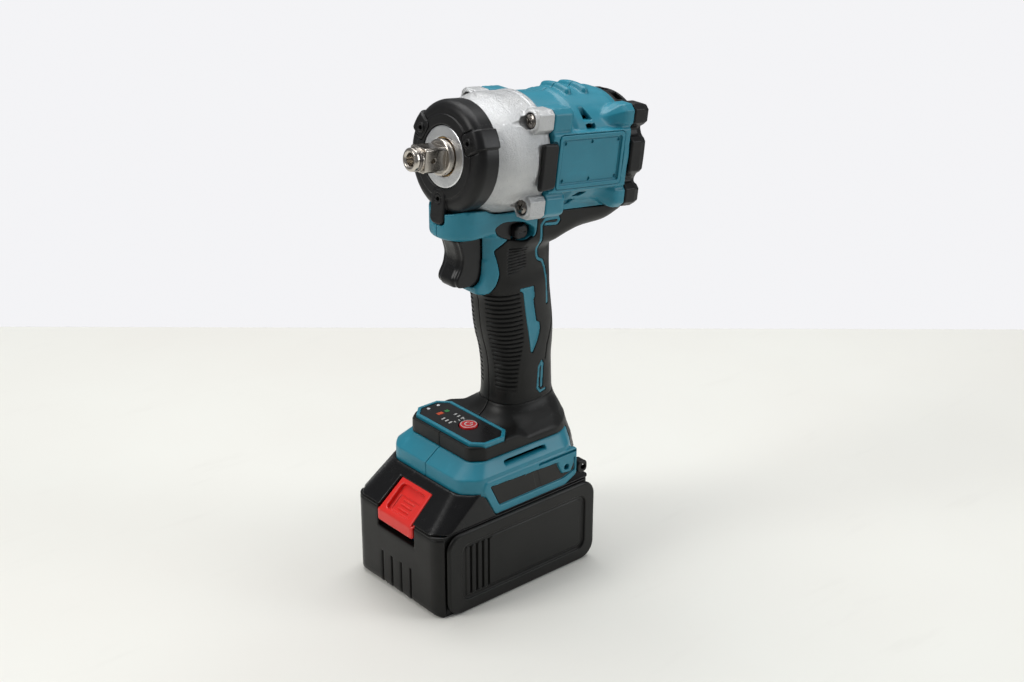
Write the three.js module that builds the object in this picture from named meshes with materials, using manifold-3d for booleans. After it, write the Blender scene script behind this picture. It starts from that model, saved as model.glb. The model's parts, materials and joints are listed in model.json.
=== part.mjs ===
// Cordless impact wrench with a 1/2 inch square drive and a slide-on battery.
// Millimetres, +Z up. The nose points to -Y, the tool's left side to +X, and the mid-plane is x = 0.
// The origin is the middle of the battery's underside.
// The head has its own tilted frame: x across, y backwards along the drive axis, z up from the axis.

import * as THREE from 'three';
import { mergeVertices } from 'three/addons/utils/BufferGeometryUtils.js';
import { ConvexGeometry } from 'three/addons/geometries/ConvexGeometry.js';
import Module from 'manifold-3d';

const wasm = await Module();
wasm.setup();

// ---------------------------------------------------------------- driving dimensions

const GAP = 0.3;            // air between two pieces that touch or seat on each other
const RUN = 0.5;            // air round a piece that slides or turns
const CUT = 60;             // how far a cutter reaches past what it cuts
const SMOOTHED = 0.08;      // largest step that merging flat neighbours may leave

const TILT = THREE.MathUtils.degToRad(7.41);   // nose-up tilt of the head
const HEAD_Z = 239.1;       // height of the drive axis above the origin

// Anvil and drive
const SQUARE = 12.7;        // 1/2 inch square drive
const TIP_Y = -41.75;       // front end of the anvil
const SQUARE_Y = -36.4;     // front end of the square
const SHOULDER_Y = -23.2;   // back end of the square
const NOSE_R = 6.0;
const NOSE_BORE_R = 3.3;
const NECK_R = 6.1;         // relief between the square and the shoulder
const NECK = 0.8;
const SHOULDER_R = 9.4;
const JOURNAL_R = 8.6;
const WING_R = 19;
const WING_HALF = 20;       // half angle of an anvil wing, degrees
const LUG_HALF = 22;        // half angle of a hammer lug, degrees
const WING_Y = [3.0, 8.6];
const ANVIL_BORE_R = 4.4;

// Hammer case
const NOSE_FACE_Y = -20.2;  // machined disc at the front of the case
const NOSE_DISC_R = 16;
const BUSH_R = 11;          // outer radius of the front bush
const CASE_R = 32;
const CASE_FRONT_R = 27.2;
const CASE_WALL_R = 25.6;   // inner radius, holds the hammer and the ring gear
const FLANGE_Y = 24.5;      // back of the case's flange
const SPIGOT_R = 28;
const SPIGOT_Y = 42;
const BOSS_R = 5.8;
const SCREW_X = 25;
const SCREW_TOP = 21.8;
const SCREW_LOW = -22.8;
const SCREW_SEAT_Y = 15.8;
const SCREW_R = 2;
const SCREW_HEAD_R = 4;
const SCREW_HEAD = 3.6;
const SCREW_END_Y = 40;

// Rubber nose bumper
const BUMPER_R = 28.8;
const BUMPER_BACK_Y = -7.5;
const TAB_R = 30;
const TAB_HOLE_R = 21.7;
const TAB_WIDTH = 10;

// Impact mechanism and gears
const HAMMER_R = 24.6;
const HAMMER_Y = [8.9, 24];
const HAMMER_TRAVEL = 6;
const SPRING_SEAT_Y = 15;
const SPINDLE_R = 8;
const CARRIER_R = 18;
const CARRIER_Y = 29.5;
const CARRIER_WALL = 2.8;
const GEAR_Y = [33, 40];
const GEAR_MODULE = 0.85;
const SUN_TEETH = 11;
const PLANET_TEETH = 19;
const RING_TEETH = 49;
const PLANETS = 3;
const PIN_R = 2.2;

// Motor
const BARREL_R = 31;        // round outside of the housing's barrel
const BARREL_WALL = 2.6;
const BARREL_END_Y = 81;
const SHAFT_R = 3.75;
const ROTOR_R = 12.2;
const ROTOR_Y = [53, 71];
const STATOR_R = [12.9, 25.4];
const STATOR_Y = [54, 70];
const WINDING = 3.4;
const FAN_R = 24;
const FAN_Y = [74.4, 80];
const BEARING_R = 9.2;
const BEARING = 5;
const PLATE_Y = [42.4, 49];
const CAP_END_Y = 93;
const CAP_WALL = 2.6;
const CAP_SCREW = 21.5;     // height of the rear screws from the drive axis
const CAP_LOBE_R = 6.6;
const FLAT_X = 31.8;        // flat sides of the barrel
const FLAT_HALF = 15.5;
const PAD_X = [30.5, 33.3];
const PAD_Y = [17, 28];
const PAD_Z = [-13, 11];

// Body shell, handle and foot
const SKIN = 2.2;           // grip overmould thickness
const WALL = 2.3;           // housing wall
const GRIP_HALF = 16.6;     // half width of the handle
const CHIN_HALF = 16;
const CHIN_FRONT = -25.1;
const CHIN_Z = 199.3;
const KEEL_HALF = 20;
const FOOT_HALF = 35.4;
const FOOT_FRONT = -35.2;
const FOOT_REAR = 54;
const FOOT_Z = 62.4;
const BREAK_Z = 73.8;       // edge between the foot's upright wall and its sloping top
const TOP_HALF = 29.6;
const TOP_FRONT = -25.4;
const TOP_Z = [80.2, 88.4];
const TOP_REAR = 47;
const CORNER = 8;           // chamfer of the foot's plan corners
const SKIRT_X = [33.2, 36];
const SKIRT_Y = [-16, 41];
const SKIRT_Z = 50.2;
const RAIL_Z = [54.6, 57.2];
const RAIL_X = 28.6;

// Controls
const TRIGGER_HALF = 8.2;
const TRIGGER_Z = [170.4, 197.6];
const TRIGGER_TRAVEL = 6;
const TRIGGER_BACK = -2.4;
const STEM_R = 2.6;
const SWITCH_Y = [11, 34];
const SWITCH_HALF = 9.5;
const SWITCH_Z = [170.5, 190];
const LEVER_Y = 16.4;
const LEVER_Z = 198.2;
const LEVER_HALF = 19;
const LEVER_TRAVEL = 2.5;
const PANEL_HALF = 29;
const PANEL_Y = [-23.2, 1.8];
const PANEL_Z = 90.2;
const BUTTON_X = 5.5;
const BUTTON_Y = -9.5;
const BUTTON_R = 5;
const BUTTON_TRAVEL = 0.8;

// Battery
const PACK_HALF = 39;
const PACK_FRONT = -56.3;
const PACK_REAR = 54;
const PACK_Z = 49;          // top edge of the lower case
const PACK_R = 9;           // corner radius of the side covers
const CORE_HALF = 37.4;
const COVER_X = 35.8;       // inner face of a side cover
const COVER_FRONT = -50.8;
const DECK_HALF = 32.8;     // top block between the foot's skirts
const DECK_Z = 61.8;
const DECK_REAR = 40;
const SHOULDER_TOP = 64.6;
const SHOULDER_TOP_Y = -38.5;
const LATCH_HALF = 14.4;
const LATCH_TRAVEL = 3.6;
const CELL_R = 9.1;
const CELL_HALF = 32.4;
const CELLS = 5;

// ---------------------------------------------------------------- colours

const material = (color, roughness, metalness = 0) => new THREE.MeshStandardMaterial({ color, roughness, metalness });
const TEAL = material(0x1f7f97, 0.5);
const BLACK = material(0x1d1e1f, 0.6);
const RUBBER = material(0x151617, 0.8);
const CAST = material(0xb9bcbd, 0.5, 0.8);
const STEEL = material(0x8f8c86, 0.35, 1);
const DARK_STEEL = material(0x55534f, 0.4, 1);
const BRONZE = material(0x9c7a45, 0.4, 1);
const COPPER = material(0xb06a35, 0.4, 1);
const RED = material(0xd8322c, 0.45);
const BOARD = material(0x1f5b35, 0.5);
const CELL = material(0x2c7fb0, 0.4);

// ---------------------------------------------------------------- solids and shapes

// Merges a closed geometry's shared vertices and drops the flat triangles at its poles.
function solid(geometry) {
  const plain = geometry.clone();
  plain.deleteAttribute('normal');
  plain.deleteAttribute('uv');
  const merged = mergeVertices(plain, 1e-4);
  const index = merged.index.array;
  const position = merged.attributes.position;
  const keep = [];
  for (let i = 0; i < index.length; i += 3) {
    const [a, b, c] = [index[i], index[i + 1], index[i + 2]];
    if (a !== b && b !== c && c !== a) keep.push(a, b, c);
  }
  if (signedVolume(position, keep) < 0) keep.reverse();
  return new wasm.Manifold(new wasm.Mesh({
    numProp: 3,
    vertProperties: new Float32Array(position.array),
    triVerts: new Uint32Array(keep),
  }));
}

function signedVolume(position, index) {
  const [a, b, c] = [new THREE.Vector3(), new THREE.Vector3(), new THREE.Vector3()];
  let volume = 0;
  for (let i = 0; i < index.length; i += 3) {
    a.fromBufferAttribute(position, index[i]);
    b.fromBufferAttribute(position, index[i + 1]);
    c.fromBufferAttribute(position, index[i + 2]);
    volume += a.dot(b.cross(c)) / 6;
  }
  return volume;
}

// The surface of a solid, with its flat neighbours merged.
function geometryOf(manifold) {
  const mesh = manifold.asOriginal().simplify(SMOOTHED).getMesh();
  const geometry = new THREE.BufferGeometry();
  geometry.setAttribute('position', new THREE.BufferAttribute(new Float32Array(mesh.vertProperties), 3));
  geometry.setIndex(new THREE.BufferAttribute(new Uint32Array(mesh.triVerts), 1));
  return geometry;
}

const join = (first, ...rest) => rest.reduce((sum, piece) => sum.add(piece), first);
const cut = (first, ...rest) => rest.reduce((left, piece) => left.subtract(piece), first);

// A body turned about the y axis, from [radius, y] points.
function turned(points, segments = 18) {
  return solid(new THREE.LatheGeometry(points.map(([r, y]) => new THREE.Vector2(r, y)), segments));
}

// A tube or disc about the y axis.
function tube(inner, outer, y0, y1, segments = 18) {
  if (inner === 0) return turned([[0, y0], [outer, y0], [outer, y1], [0, y1]], segments);
  return turned([[inner, y0], [outer, y0], [outer, y1], [inner, y1], [inner, y0]], segments);
}

function rodY(radius, x, z, y0, y1, segments = 8) {
  const geometry = new THREE.CylinderGeometry(radius, radius, y1 - y0, segments);
  return solid(geometry.translate(x, (y0 + y1) / 2, z));
}

function coneY(r0, r1, x, z, y0, y1, segments = 8) {
  const geometry = new THREE.CylinderGeometry(r1, r0, y1 - y0, segments);
  return solid(geometry.translate(x, (y0 + y1) / 2, z));
}

function rodX(radius, y, z, x0, x1, segments = 8) {
  const geometry = new THREE.CylinderGeometry(radius, radius, x1 - x0, segments).rotateZ(Math.PI / 2);
  return solid(geometry.translate((x0 + x1) / 2, y, z));
}

function rodZ(radius, x, y, z0, z1, segments = 14) {
  const geometry = new THREE.CylinderGeometry(radius, radius, z1 - z0, segments).rotateX(Math.PI / 2);
  return solid(geometry.translate(x, y, (z0 + z1) / 2));
}

function box([x0, x1], [y0, y1], [z0, z1]) {
  const geometry = new THREE.BoxGeometry(x1 - x0, y1 - y0, z1 - z0);
  return solid(geometry.translate((x0 + x1) / 2, (y0 + y1) / 2, (z0 + z1) / 2));
}

function hull(points) {
  return solid(new ConvexGeometry(points.map(([x, y, z]) => new THREE.Vector3(x, y, z))));
}

function outline(points) {
  return new THREE.Shape(points.map(([a, b]) => new THREE.Vector2(a, b)));
}

function roundedOutline([a0, a1], [b0, b1], radius) {
  const shape = new THREE.Shape();
  shape.absarc(a1 - radius, b1 - radius, radius, 0, Math.PI / 2);
  shape.absarc(a0 + radius, b1 - radius, radius, Math.PI / 2, Math.PI);
  shape.absarc(a0 + radius, b0 + radius, radius, Math.PI, Math.PI * 1.5);
  shape.absarc(a1 - radius, b0 + radius, radius, Math.PI * 1.5, Math.PI * 2);
  return shape;
}

const plain = (depth, curveSegments = 2) => ({ depth, curveSegments, bevelEnabled: false });

// A (y, z) side outline swept across x, with optional rounded edges inside the same width.
function sideSweep(shape, x0, x1, round = 0, curveSegments = 2) {
  const options = plain(x1 - x0 - 2 * round, curveSegments);
  if (round > 0) Object.assign(options, {
    bevelEnabled: true, bevelThickness: round, bevelSize: round, bevelOffset: -round, bevelSegments: 1,
  });
  const geometry = new THREE.ExtrudeGeometry(shape, options).translate(0, 0, x0 + round);
  return solid(geometry.applyMatrix4(new THREE.Matrix4().set(0, 0, 1, 0, 1, 0, 0, 0, 0, 1, 0, 0, 0, 0, 0, 1)));
}

// An (x, z) outline swept along y.
function axisSweep(shape, y0, y1, curveSegments = 2) {
  const geometry = new THREE.ExtrudeGeometry(shape, plain(y1 - y0, curveSegments));
  return solid(geometry.rotateX(Math.PI / 2).translate(0, y1, 0));
}

// An (x, y) outline swept up z.
function planSweep(shape, z0, z1, curveSegments = 2) {
  return solid(new THREE.ExtrudeGeometry(shape, plain(z1 - z0, curveSegments)).translate(0, 0, z0));
}

// Moves a head-frame solid into the tool's frame.
const headMatrix = new THREE.Matrix4().makeRotationX(-TILT).setPosition(0, 0, HEAD_Z);
const toTool = (piece) => piece.transform(headMatrix.elements);

class Helix extends THREE.Curve {
  constructor(radius, turns, y0, y1) {
    super();
    Object.assign(this, { radius, turns, y0, y1 });
  }

  getPoint(t, target = new THREE.Vector3()) {
    const angle = t * this.turns * Math.PI * 2;
    const y = THREE.MathUtils.lerp(this.y0, this.y1, t);
    return target.set(this.radius * Math.cos(angle), y, this.radius * Math.sin(angle));
  }
}

// A coil spring about the y axis that fills y0 to y1.
function coil(radius, wire, turns, y0, y1) {
  const section = new THREE.Shape().absarc(0, 0, wire, 0, Math.PI * 2);
  const path = new Helix(radius, turns, y0 + wire, y1 - wire);
  const options = { steps: Math.round(turns * 9), curveSegments: 2, bevelEnabled: false, extrudePath: path };
  return new THREE.ExtrudeGeometry(section, options);
}

// A gear outline: teeth stand out from the pitch circle, or in towards the axis when inward is -1.
function gearOutline(teeth, phase, inward = 1) {
  const pitch = teeth * GEAR_MODULE / 2;
  const step = Math.PI * 2 / teeth;
  const tip = pitch + inward * 0.75 * GEAR_MODULE;
  const root = pitch - inward * 1.1 * GEAR_MODULE;
  const points = [];
  for (let i = 0; i < teeth; i += 1) {
    const middle = phase + i * step;
    for (const [radius, share] of [[root, -0.27], [tip, -0.1], [tip, 0.1], [root, 0.27]]) {
      const angle = middle + share * step;
      points.push([radius * Math.cos(angle), radius * Math.sin(angle)]);
    }
  }
  return points;
}

// ---------------------------------------------------------------- the assembly

const tool = new THREE.Group();
const head = new THREE.Group();
head.rotation.x = -TILT;
head.position.z = HEAD_Z;
tool.add(head);

function add(parent, name, shape, finish) {
  const mesh = new THREE.Mesh(shape.isBufferGeometry ? shape : geometryOf(shape), finish);
  mesh.name = name;
  parent.add(mesh);
}

const SIDES = [['left', 1], ['right', -1]];
const SCREW_PLACES = [[SCREW_X, SCREW_TOP], [-SCREW_X, SCREW_TOP], [-SCREW_X, SCREW_LOW], [SCREW_X, SCREW_LOW]];
const CAP_PLACES = [[1, 1], [-1, 1], [-1, -1], [1, -1]].map(([a, b]) => [a * SCREW_X, b * CAP_SCREW]);

// ---------------------------------------------------------------- nose and drive

function sector(inner, outer, middle, half) {
  const shape = new THREE.Shape();
  const [a, b] = [middle - half, middle + half].map(THREE.MathUtils.degToRad);
  shape.absarc(0, 0, outer, a, b);
  shape.absarc(0, 0, inner, b, a, true);
  return shape;
}

const RING_GROOVE = [-39.3, -37.4];

function makeAnvil() {
  const [g0, g1] = RING_GROOVE;
  const body = turned([
    [0, TIP_Y + 6], [NOSE_BORE_R, TIP_Y + 5.5], [NOSE_BORE_R, TIP_Y + 0.8], [NOSE_BORE_R + 0.8, TIP_Y],
    [NOSE_R - 0.7, TIP_Y], [NOSE_R, TIP_Y + 0.7], [NOSE_R, g0], [NOSE_R - 1.5, g0], [NOSE_R - 1.5, g1],
    [NOSE_R, g1], [NOSE_R, SQUARE_Y - 0.8], [NOSE_R - 1, SQUARE_Y], [NOSE_R - 1, SHOULDER_Y - 2 * NECK],
    [NECK_R, SHOULDER_Y - 2 * NECK], [NECK_R, SHOULDER_Y],
    [SHOULDER_R - 1.4, SHOULDER_Y], [SHOULDER_R, SHOULDER_Y + 1.4], [SHOULDER_R, NOSE_FACE_Y - GAP],
    [JOURNAL_R, NOSE_FACE_Y - GAP], [JOURNAL_R, WING_Y[1]], [0, WING_Y[1]],
  ]);
  const half = SQUARE / 2;
  const corner = tube(0, half * 1.27, SQUARE_Y, SHOULDER_Y);
  const square = box([-half, half], [SQUARE_Y, SHOULDER_Y - NECK], [-half, half]).intersect(corner);
  const wings = [0, 180].map((at) => axisSweep(sector(JOURNAL_R - 1, WING_R, at, WING_HALF), ...WING_Y, 3));
  const dimple = rodX(1.6, SQUARE_Y + 5, 0, half - 2, half + 1);
  const pilot = tube(0, ANVIL_BORE_R, -3, WING_Y[1] + 1, 20);
  return cut(join(body, square, ...wings), dimple, pilot);
}

function makeFrictionRing() {
  const [g0, g1] = RING_GROOVE;
  const inner = NOSE_R - 1.5 + GAP;
  const ring = tube(inner, NOSE_R + 0.25, g0 + GAP, g1 - GAP, 20);
  return cut(ring, box([-0.6, 0.6], [g0, g1], [-CUT, 0]));
}

function makeHammerCase() {
  const body = turned([
    [SHOULDER_R + RUN, NOSE_FACE_Y], [NOSE_DISC_R, NOSE_FACE_Y], [NOSE_DISC_R, -14.5], [23.5, -12.4],
    [26.4, -10], [CASE_FRONT_R, -7], [29.6, -2.5], [CASE_R - 0.6, 2.5], [CASE_R, 7], [CASE_R, FLANGE_Y],
    [SPIGOT_R, FLANGE_Y], [SPIGOT_R, SPIGOT_Y], [CASE_WALL_R, SPIGOT_Y], [CASE_WALL_R, 9.5],
    [WING_R + 1.4, WING_Y[0] - RUN - 0.6], [BUSH_R + GAP, WING_Y[0] - RUN - 0.6], [BUSH_R + GAP, NOSE_FACE_Y + 1.6],
    [SHOULDER_R + RUN, NOSE_FACE_Y + 1.6], [SHOULDER_R + RUN, NOSE_FACE_Y],
  ], 24);
  const bosses = SCREW_PLACES.map(([x, z]) => rodY(BOSS_R, x, z, SCREW_SEAT_Y - 1.6, FLANGE_Y, 10));
  const gussets = SCREW_PLACES.map(([x, z]) => coneY(1.5, BOSS_R - 0.6, x * 0.86, z * 0.86, -2, SCREW_SEAT_Y, 12));
  const pockets = SCREW_PLACES.map(([x, z]) => rodY(SCREW_HEAD_R + 0.5, x, z, -CUT, SCREW_SEAT_Y));
  const holes = SCREW_PLACES.map(([x, z]) => rodY(SCREW_R + GAP, x, z, 0, CUT));
  const bore = tube(0, CASE_WALL_R, 9.5, CUT, 24);
  return cut(join(body, ...bosses, ...gussets), bore, ...pockets, ...holes, ...padSeats());
}

// Flat seats for the rubber pads, cut from the case and the housing.
function padSeats() {
  return SIDES.map(([, side]) => box(
    side > 0 ? [PAD_X[0] - GAP, CUT] : [-CUT, -PAD_X[0] + GAP],
    [PAD_Y[0] - GAP, PAD_Y[1] + GAP], [PAD_Z[0] - GAP, PAD_Z[1] + GAP],
  ));
}

function makeBumper() {
  const front = NOSE_FACE_Y - 0.4;
  const inner = NOSE_DISC_R + GAP;
  const body = turned([
    [inner, front], [21, front], [21.4, front + 0.7], [24.5, front + 0.7], [BUMPER_R - 1.6, front + 2.6],
    [BUMPER_R, front + 5.5], [BUMPER_R, BUMPER_BACK_Y], [CASE_FRONT_R + 0.2, BUMPER_BACK_Y],
    [26.6 + GAP, -10.2], [23.6 + GAP, -12.9], [inner, -14.9], [inner, front],
  ], 24);
  const tabs = [30, 150].map((at) => tabAt(at, TAB_R, BUMPER_BACK_Y));
  const chinTab = tabAt(270, 33, -18.6);
  const holes = [30, 150, 270].map((at) => {
    const angle = THREE.MathUtils.degToRad(at);
    return rodY(1.1, TAB_HOLE_R * Math.cos(angle), TAB_HOLE_R * Math.sin(angle), front - 3, front + 3, 10);
  });
  const clear = turned([
    [0, front - 3], [inner, front - 3], [inner, -14.9], [23.6 + GAP, -12.9], [26.6 + GAP, -10.2],
    [CASE_FRONT_R + 0.2, BUMPER_BACK_Y], [CASE_FRONT_R + 0.2, 0], [0, 0],
  ], 24);
  return cut(join(body, ...tabs, chinTab), clear, ...holes);
}

// A raised tab on the bumper that runs outwards at an angle and back along its side.
function tabAt(degrees, reach, back) {
  const half = TAB_WIDTH / 2;
  const front = NOSE_FACE_Y - 1.2;
  const tab = roundedOutline([TAB_HOLE_R - 3.2, reach], [-half, half], 2);
  const piece = new THREE.ExtrudeGeometry(tab, plain(back - front, 3)).rotateX(Math.PI / 2);
  piece.translate(0, back, 0).rotateY(-THREE.MathUtils.degToRad(degrees));
  return solid(piece);
}

function makeCaseScrew([x, z]) {
  const shank = rodY(SCREW_R, x, z, SCREW_SEAT_Y, SCREW_END_Y, 12);
  const capHead = rodY(SCREW_HEAD_R, x, z, SCREW_SEAT_Y - GAP - SCREW_HEAD, SCREW_SEAT_Y - GAP, 20);
  const neck = rodY(SCREW_R, x, z, SCREW_SEAT_Y - 1, SCREW_SEAT_Y + 1, 12);
  const socket = rodY(1.7, x, z, -CUT, SCREW_SEAT_Y - SCREW_HEAD + 1.6, 6);
  return cut(join(capHead, neck, shank), socket);
}

// ---------------------------------------------------------------- impact mechanism and gears

function makeHammer() {
  const [y0, y1] = HAMMER_Y;
  const bore = SPINDLE_R + RUN;
  const body = turned([
    [bore, y0], [HAMMER_R - 1.5, y0], [HAMMER_R, y0 + 1.5], [HAMMER_R, y1], [20.4, y1], [20.4, SPRING_SEAT_Y],
    [10.6, SPRING_SEAT_Y], [10.6, y1 - 2], [bore, y1 - 2], [bore, y0],
  ]);
  const at = WING_HALF + LUG_HALF + 1;
  const lugs = [at, at + 180].map((middle) =>
    axisSweep(sector(JOURNAL_R + 0.8, WING_R, middle, LUG_HALF), WING_Y[0] + GAP, y0 + 1, 3));
  return join(body, ...lugs);
}

const PLANET_CENTRE = (SUN_TEETH + PLANET_TEETH) * GEAR_MODULE / 2;
const planetAngle = (k) => Math.PI / 2 + k * Math.PI * 2 / PLANETS;

function makeSpindle() {
  const rearDisc = [GEAR_Y[1] + 0.6, GEAR_Y[1] + 0.6 + 1.2];
  const body = turned([
    [0, -2], [3.4, -2], [4, -1.4], [4, WING_Y[1] + GAP], [SPINDLE_R, WING_Y[1] + GAP + 0.6],
    [SPINDLE_R, CARRIER_Y], [CARRIER_R, CARRIER_Y], [CARRIER_R, CARRIER_Y + CARRIER_WALL],
    [6.6, CARRIER_Y + CARRIER_WALL], [6.6, CARRIER_Y - 1], [0, CARRIER_Y - 1],
  ]);
  const disc = tube(6.6, CARRIER_R, ...rearDisc);
  const posts = [];
  const front = CARRIER_Y + CARRIER_WALL - 1;
  for (let k = 0; k < PLANETS; k += 1) {
    const pin = planetAngle(k);
    const post = pin + Math.PI / PLANETS;
    const [c, d] = [PLANET_CENTRE, PLANET_CENTRE];
    posts.push(rodY(PIN_R, c * Math.cos(pin), c * Math.sin(pin), front, rearDisc[0] + 0.6, 12));
    posts.push(rodY(2.6, d * Math.cos(post), d * Math.sin(post), front, rearDisc[0] + 0.6, 10));
  }
  return join(body, disc, ...posts);
}

// The planet's tooth phase that meshes with a sun tooth standing at angle zero.
function planetPhase(k) {
  const at = planetAngle(k);
  const sunStep = Math.PI * 2 / SUN_TEETH;
  const ahead = Math.round(at / sunStep) - at / sunStep;
  return at + Math.PI - ahead * Math.PI * 2 / PLANET_TEETH + Math.PI / PLANET_TEETH;
}

function makePlanet(k) {
  const at = planetAngle(k);
  const gear = axisSweep(outline(gearOutline(PLANET_TEETH, planetPhase(k))), ...GEAR_Y);
  const bored = cut(gear, tube(0, PIN_R + 0.35, -CUT, CUT, 10));
  const place = [PLANET_CENTRE * Math.cos(at), 0, PLANET_CENTRE * Math.sin(at)];
  return geometryOf(bored).translate(...place);
}

function makeRingGear() {
  const planetStep = Math.PI * 2 / PLANET_TEETH;
  const at = planetAngle(0);
  const ahead = Math.round((at - planetPhase(0)) / planetStep) - (at - planetPhase(0)) / planetStep;
  const phase = at + ahead * Math.PI * 2 / RING_TEETH + Math.PI / RING_TEETH;
  const disc = tube(0, CASE_WALL_R - GAP, GEAR_Y[0] - 0.4, GEAR_Y[1] + 0.2, 24);
  return cut(disc, axisSweep(outline(gearOutline(RING_TEETH, phase, -1)), 0, CUT));
}

// ---------------------------------------------------------------- motor

function makeShaft() {
  const rod = tube(0, SHAFT_R, GEAR_Y[1], REAR_BEARING_Y + BEARING - GAP, 20);
  const nose = tube(0, 3, GEAR_Y[0] - 1.6, GEAR_Y[0] + 1, 16);
  const pinion = axisSweep(outline(gearOutline(SUN_TEETH, 0)), GEAR_Y[0], GEAR_Y[1] + 1);
  return join(rod, nose, pinion);
}

function makeStator() {
  const [y0, y1] = STATOR_Y;
  const ring = tube(...STATOR_R, y0, y1, 30);
  const slots = [];
  for (let k = 0; k < 6; k += 1) {
    slots.push(axisSweep(sector(STATOR_R[0] + 1.6, STATOR_R[1] - 3, k * 60 + 30, 17), y0 - 1, y1 + 1, 2));
  }
  return cut(ring, ...slots);
}

function makeWinding(y0) {
  const ring = tube(STATOR_R[0] + 0.8, STATOR_R[1] - 2.2, y0, y0 + WINDING, 24);
  const gaps = [];
  for (let k = 0; k < 6; k += 1) {
    gaps.push(axisSweep(sector(STATOR_R[0], STATOR_R[1] - 5, k * 60 + 30, 5), y0 - 1, y0 + WINDING + 1, 1));
  }
  return cut(ring, ...gaps);
}

function makeFan() {
  const [y0, y1] = FAN_Y;
  const hub = tube(SHAFT_R + GAP, 7, y0, y1, 24);
  const disc = tube(SHAFT_R + GAP, FAN_R, y0, y0 + 1.4, 24);
  const blades = [];
  for (let k = 0; k < 9; k += 1) {
    const blade = new THREE.BoxGeometry(FAN_R - 7, y1 - y0, 1.2);
    blade.translate((FAN_R + 6) / 2, (y0 + y1) / 2, 0).rotateY(k * Math.PI * 2 / 9);
    blades.push(solid(blade));
  }
  return join(hub, disc, ...blades);
}

const FRONT_BEARING_Y = PLATE_Y[0] + 1.2;
const REAR_BEARING_Y = BARREL_END_Y + 3;

function makeGearPlate() {
  const [y0, y1] = PLATE_Y;
  const seat = BEARING_R + GAP;
  return turned([
    [6.4, y0], [BARREL_R - BARREL_WALL - GAP, y0], [BARREL_R - BARREL_WALL - GAP, y0 + 3], [seat + 2, y0 + 3],
    [seat + 2, y1], [seat, y1], [seat, FRONT_BEARING_Y - GAP], [6.4, FRONT_BEARING_Y - GAP], [6.4, y0],
  ]);
}

// ---------------------------------------------------------------- rear cap

function makeRearCap() {
  const y0 = BARREL_END_Y + GAP;
  const lobes = CAP_PLACES.map(([x, z]) => rodY(CAP_LOBE_R, x, z, y0, CAP_END_Y, 10));
  const ears = box([-FLAT_X, FLAT_X], [y0, CAP_END_Y], [-10, 10]);
  const outer = join(tube(0, BARREL_R - 1, y0, CAP_END_Y - 1, 24), ...lobes, ears);
  const inside = tube(0, BARREL_R - 1 - CAP_WALL, y0 - 1, CAP_END_Y - 1 - CAP_WALL, 24);
  const hub = tube(0, BEARING_R + GAP + 1.8, REAR_BEARING_Y - 1, CAP_END_Y - 2, 24);
  const seat = tube(0, BEARING_R + GAP, 0, REAR_BEARING_Y + BEARING + GAP, 24);
  const slots = [];
  for (const z of [-15, -9, 9, 15]) {
    const half = z * z < 200 ? 16 : 11;
    slots.push(box([-half, half], [CAP_END_Y - 6, CAP_END_Y + 1], [z - 1.1, z + 1.1]));
  }
  const ribs = slots.map((slot) => cut(slot, tube(0, BEARING_R + GAP + 1.8, 0, CUT * 2, 24)));
  const screws = CAP_PLACES.flatMap(([x, z]) => [
    rodY(SCREW_R + GAP, x, z, 0, CUT * 2),
    rodY(SCREW_HEAD_R - 0.4, x, z, CAP_END_Y - 3.4, CAP_END_Y + 1),
  ]);
  return cut(join(cut(outer, inside), hub), seat, ...ribs, ...screws);
}

function makeCapScrew([x, z]) {
  const seat = CAP_END_Y - 3.4;
  const shank = rodY(SCREW_R, x, z, BARREL_END_Y - 10, seat + 1, 12);
  const capHead = rodY(SCREW_HEAD_R - 0.8, x, z, seat + GAP, seat + GAP + 2.2, 20);
  const socket = rodY(1.6, x, z, seat + 1.2, CUT * 2, 6);
  return cut(join(shank, capHead), socket);
}

function makePad(side) {
  const shape = roundedOutline(PAD_Y, PAD_Z, 3);
  const [x0, x1] = side > 0 ? PAD_X : [-PAD_X[1], -PAD_X[0]];
  return sideSweep(shape, x0, x1, 0.8, 1);
}

// ---------------------------------------------------------------- body shell

// The handle's stations: height, centre y, half depth, and width factor.
const HANDLE = [
  [84, 29, 25.5, 1.5], [89, 29, 24.6, 1.3], [94, 29.2, 21.6, 1.08], [100, 29.5, 20.3, 1],
  [118, 29.2, 20.3, 1], [127, 28.6, 21.3, 1], [137, 28, 23.2, 1], [150, 26.4, 23.4, 1],
  [162, 24.4, 23.2, 1], [172, 21, 26, 0.98], [206, 21, 25.6, 1.02],
];

// A superellipse outline of half size one.
function unitOval(power, count) {
  const points = [];
  for (let i = 0; i < count; i += 1) {
    const angle = i * Math.PI * 2 / count;
    const [c, s] = [Math.cos(angle), Math.sin(angle)];
    const scale = (Math.abs(c) ** power + Math.abs(s) ** power) ** (-1 / power);
    points.push([c * scale, s * scale]);
  }
  return outline(points);
}

// The handle, with every surface moved inwards by inset.
function handleSolid(inset) {
  const geometry = new THREE.ExtrudeGeometry(unitOval(2.5, 16), { ...plain(HANDLE.length - 1), steps: HANDLE.length - 1 });
  const position = geometry.attributes.position;
  for (let i = 0; i < position.count; i += 1) {
    const [z, middle, depth, width] = HANDLE[Math.round(position.getZ(i))];
    const x = position.getX(i) * (GRIP_HALF * width - inset);
    const y = middle + position.getY(i) * (depth - inset);
    position.setXYZ(i, x, y, z);
  }
  return solid(geometry);
}

// The saddle that carries the barrel behind the handle.
function keelSolid(inset) {
  const low = inset;
  const shape = outline([
    [14, 184 + low], [40, 182 + low], [47, 185.4 + low], [58, 188.2 + low], [76, 188.4 + low], [88 - low, 193.4 + low],
    [90 - low, 199], [88 - low, 214], [14, 220],
  ]);
  return sideSweep(shape, -KEEL_HALF + inset, KEEL_HALF - inset, 6.5 - inset * 0.6);
}

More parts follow.
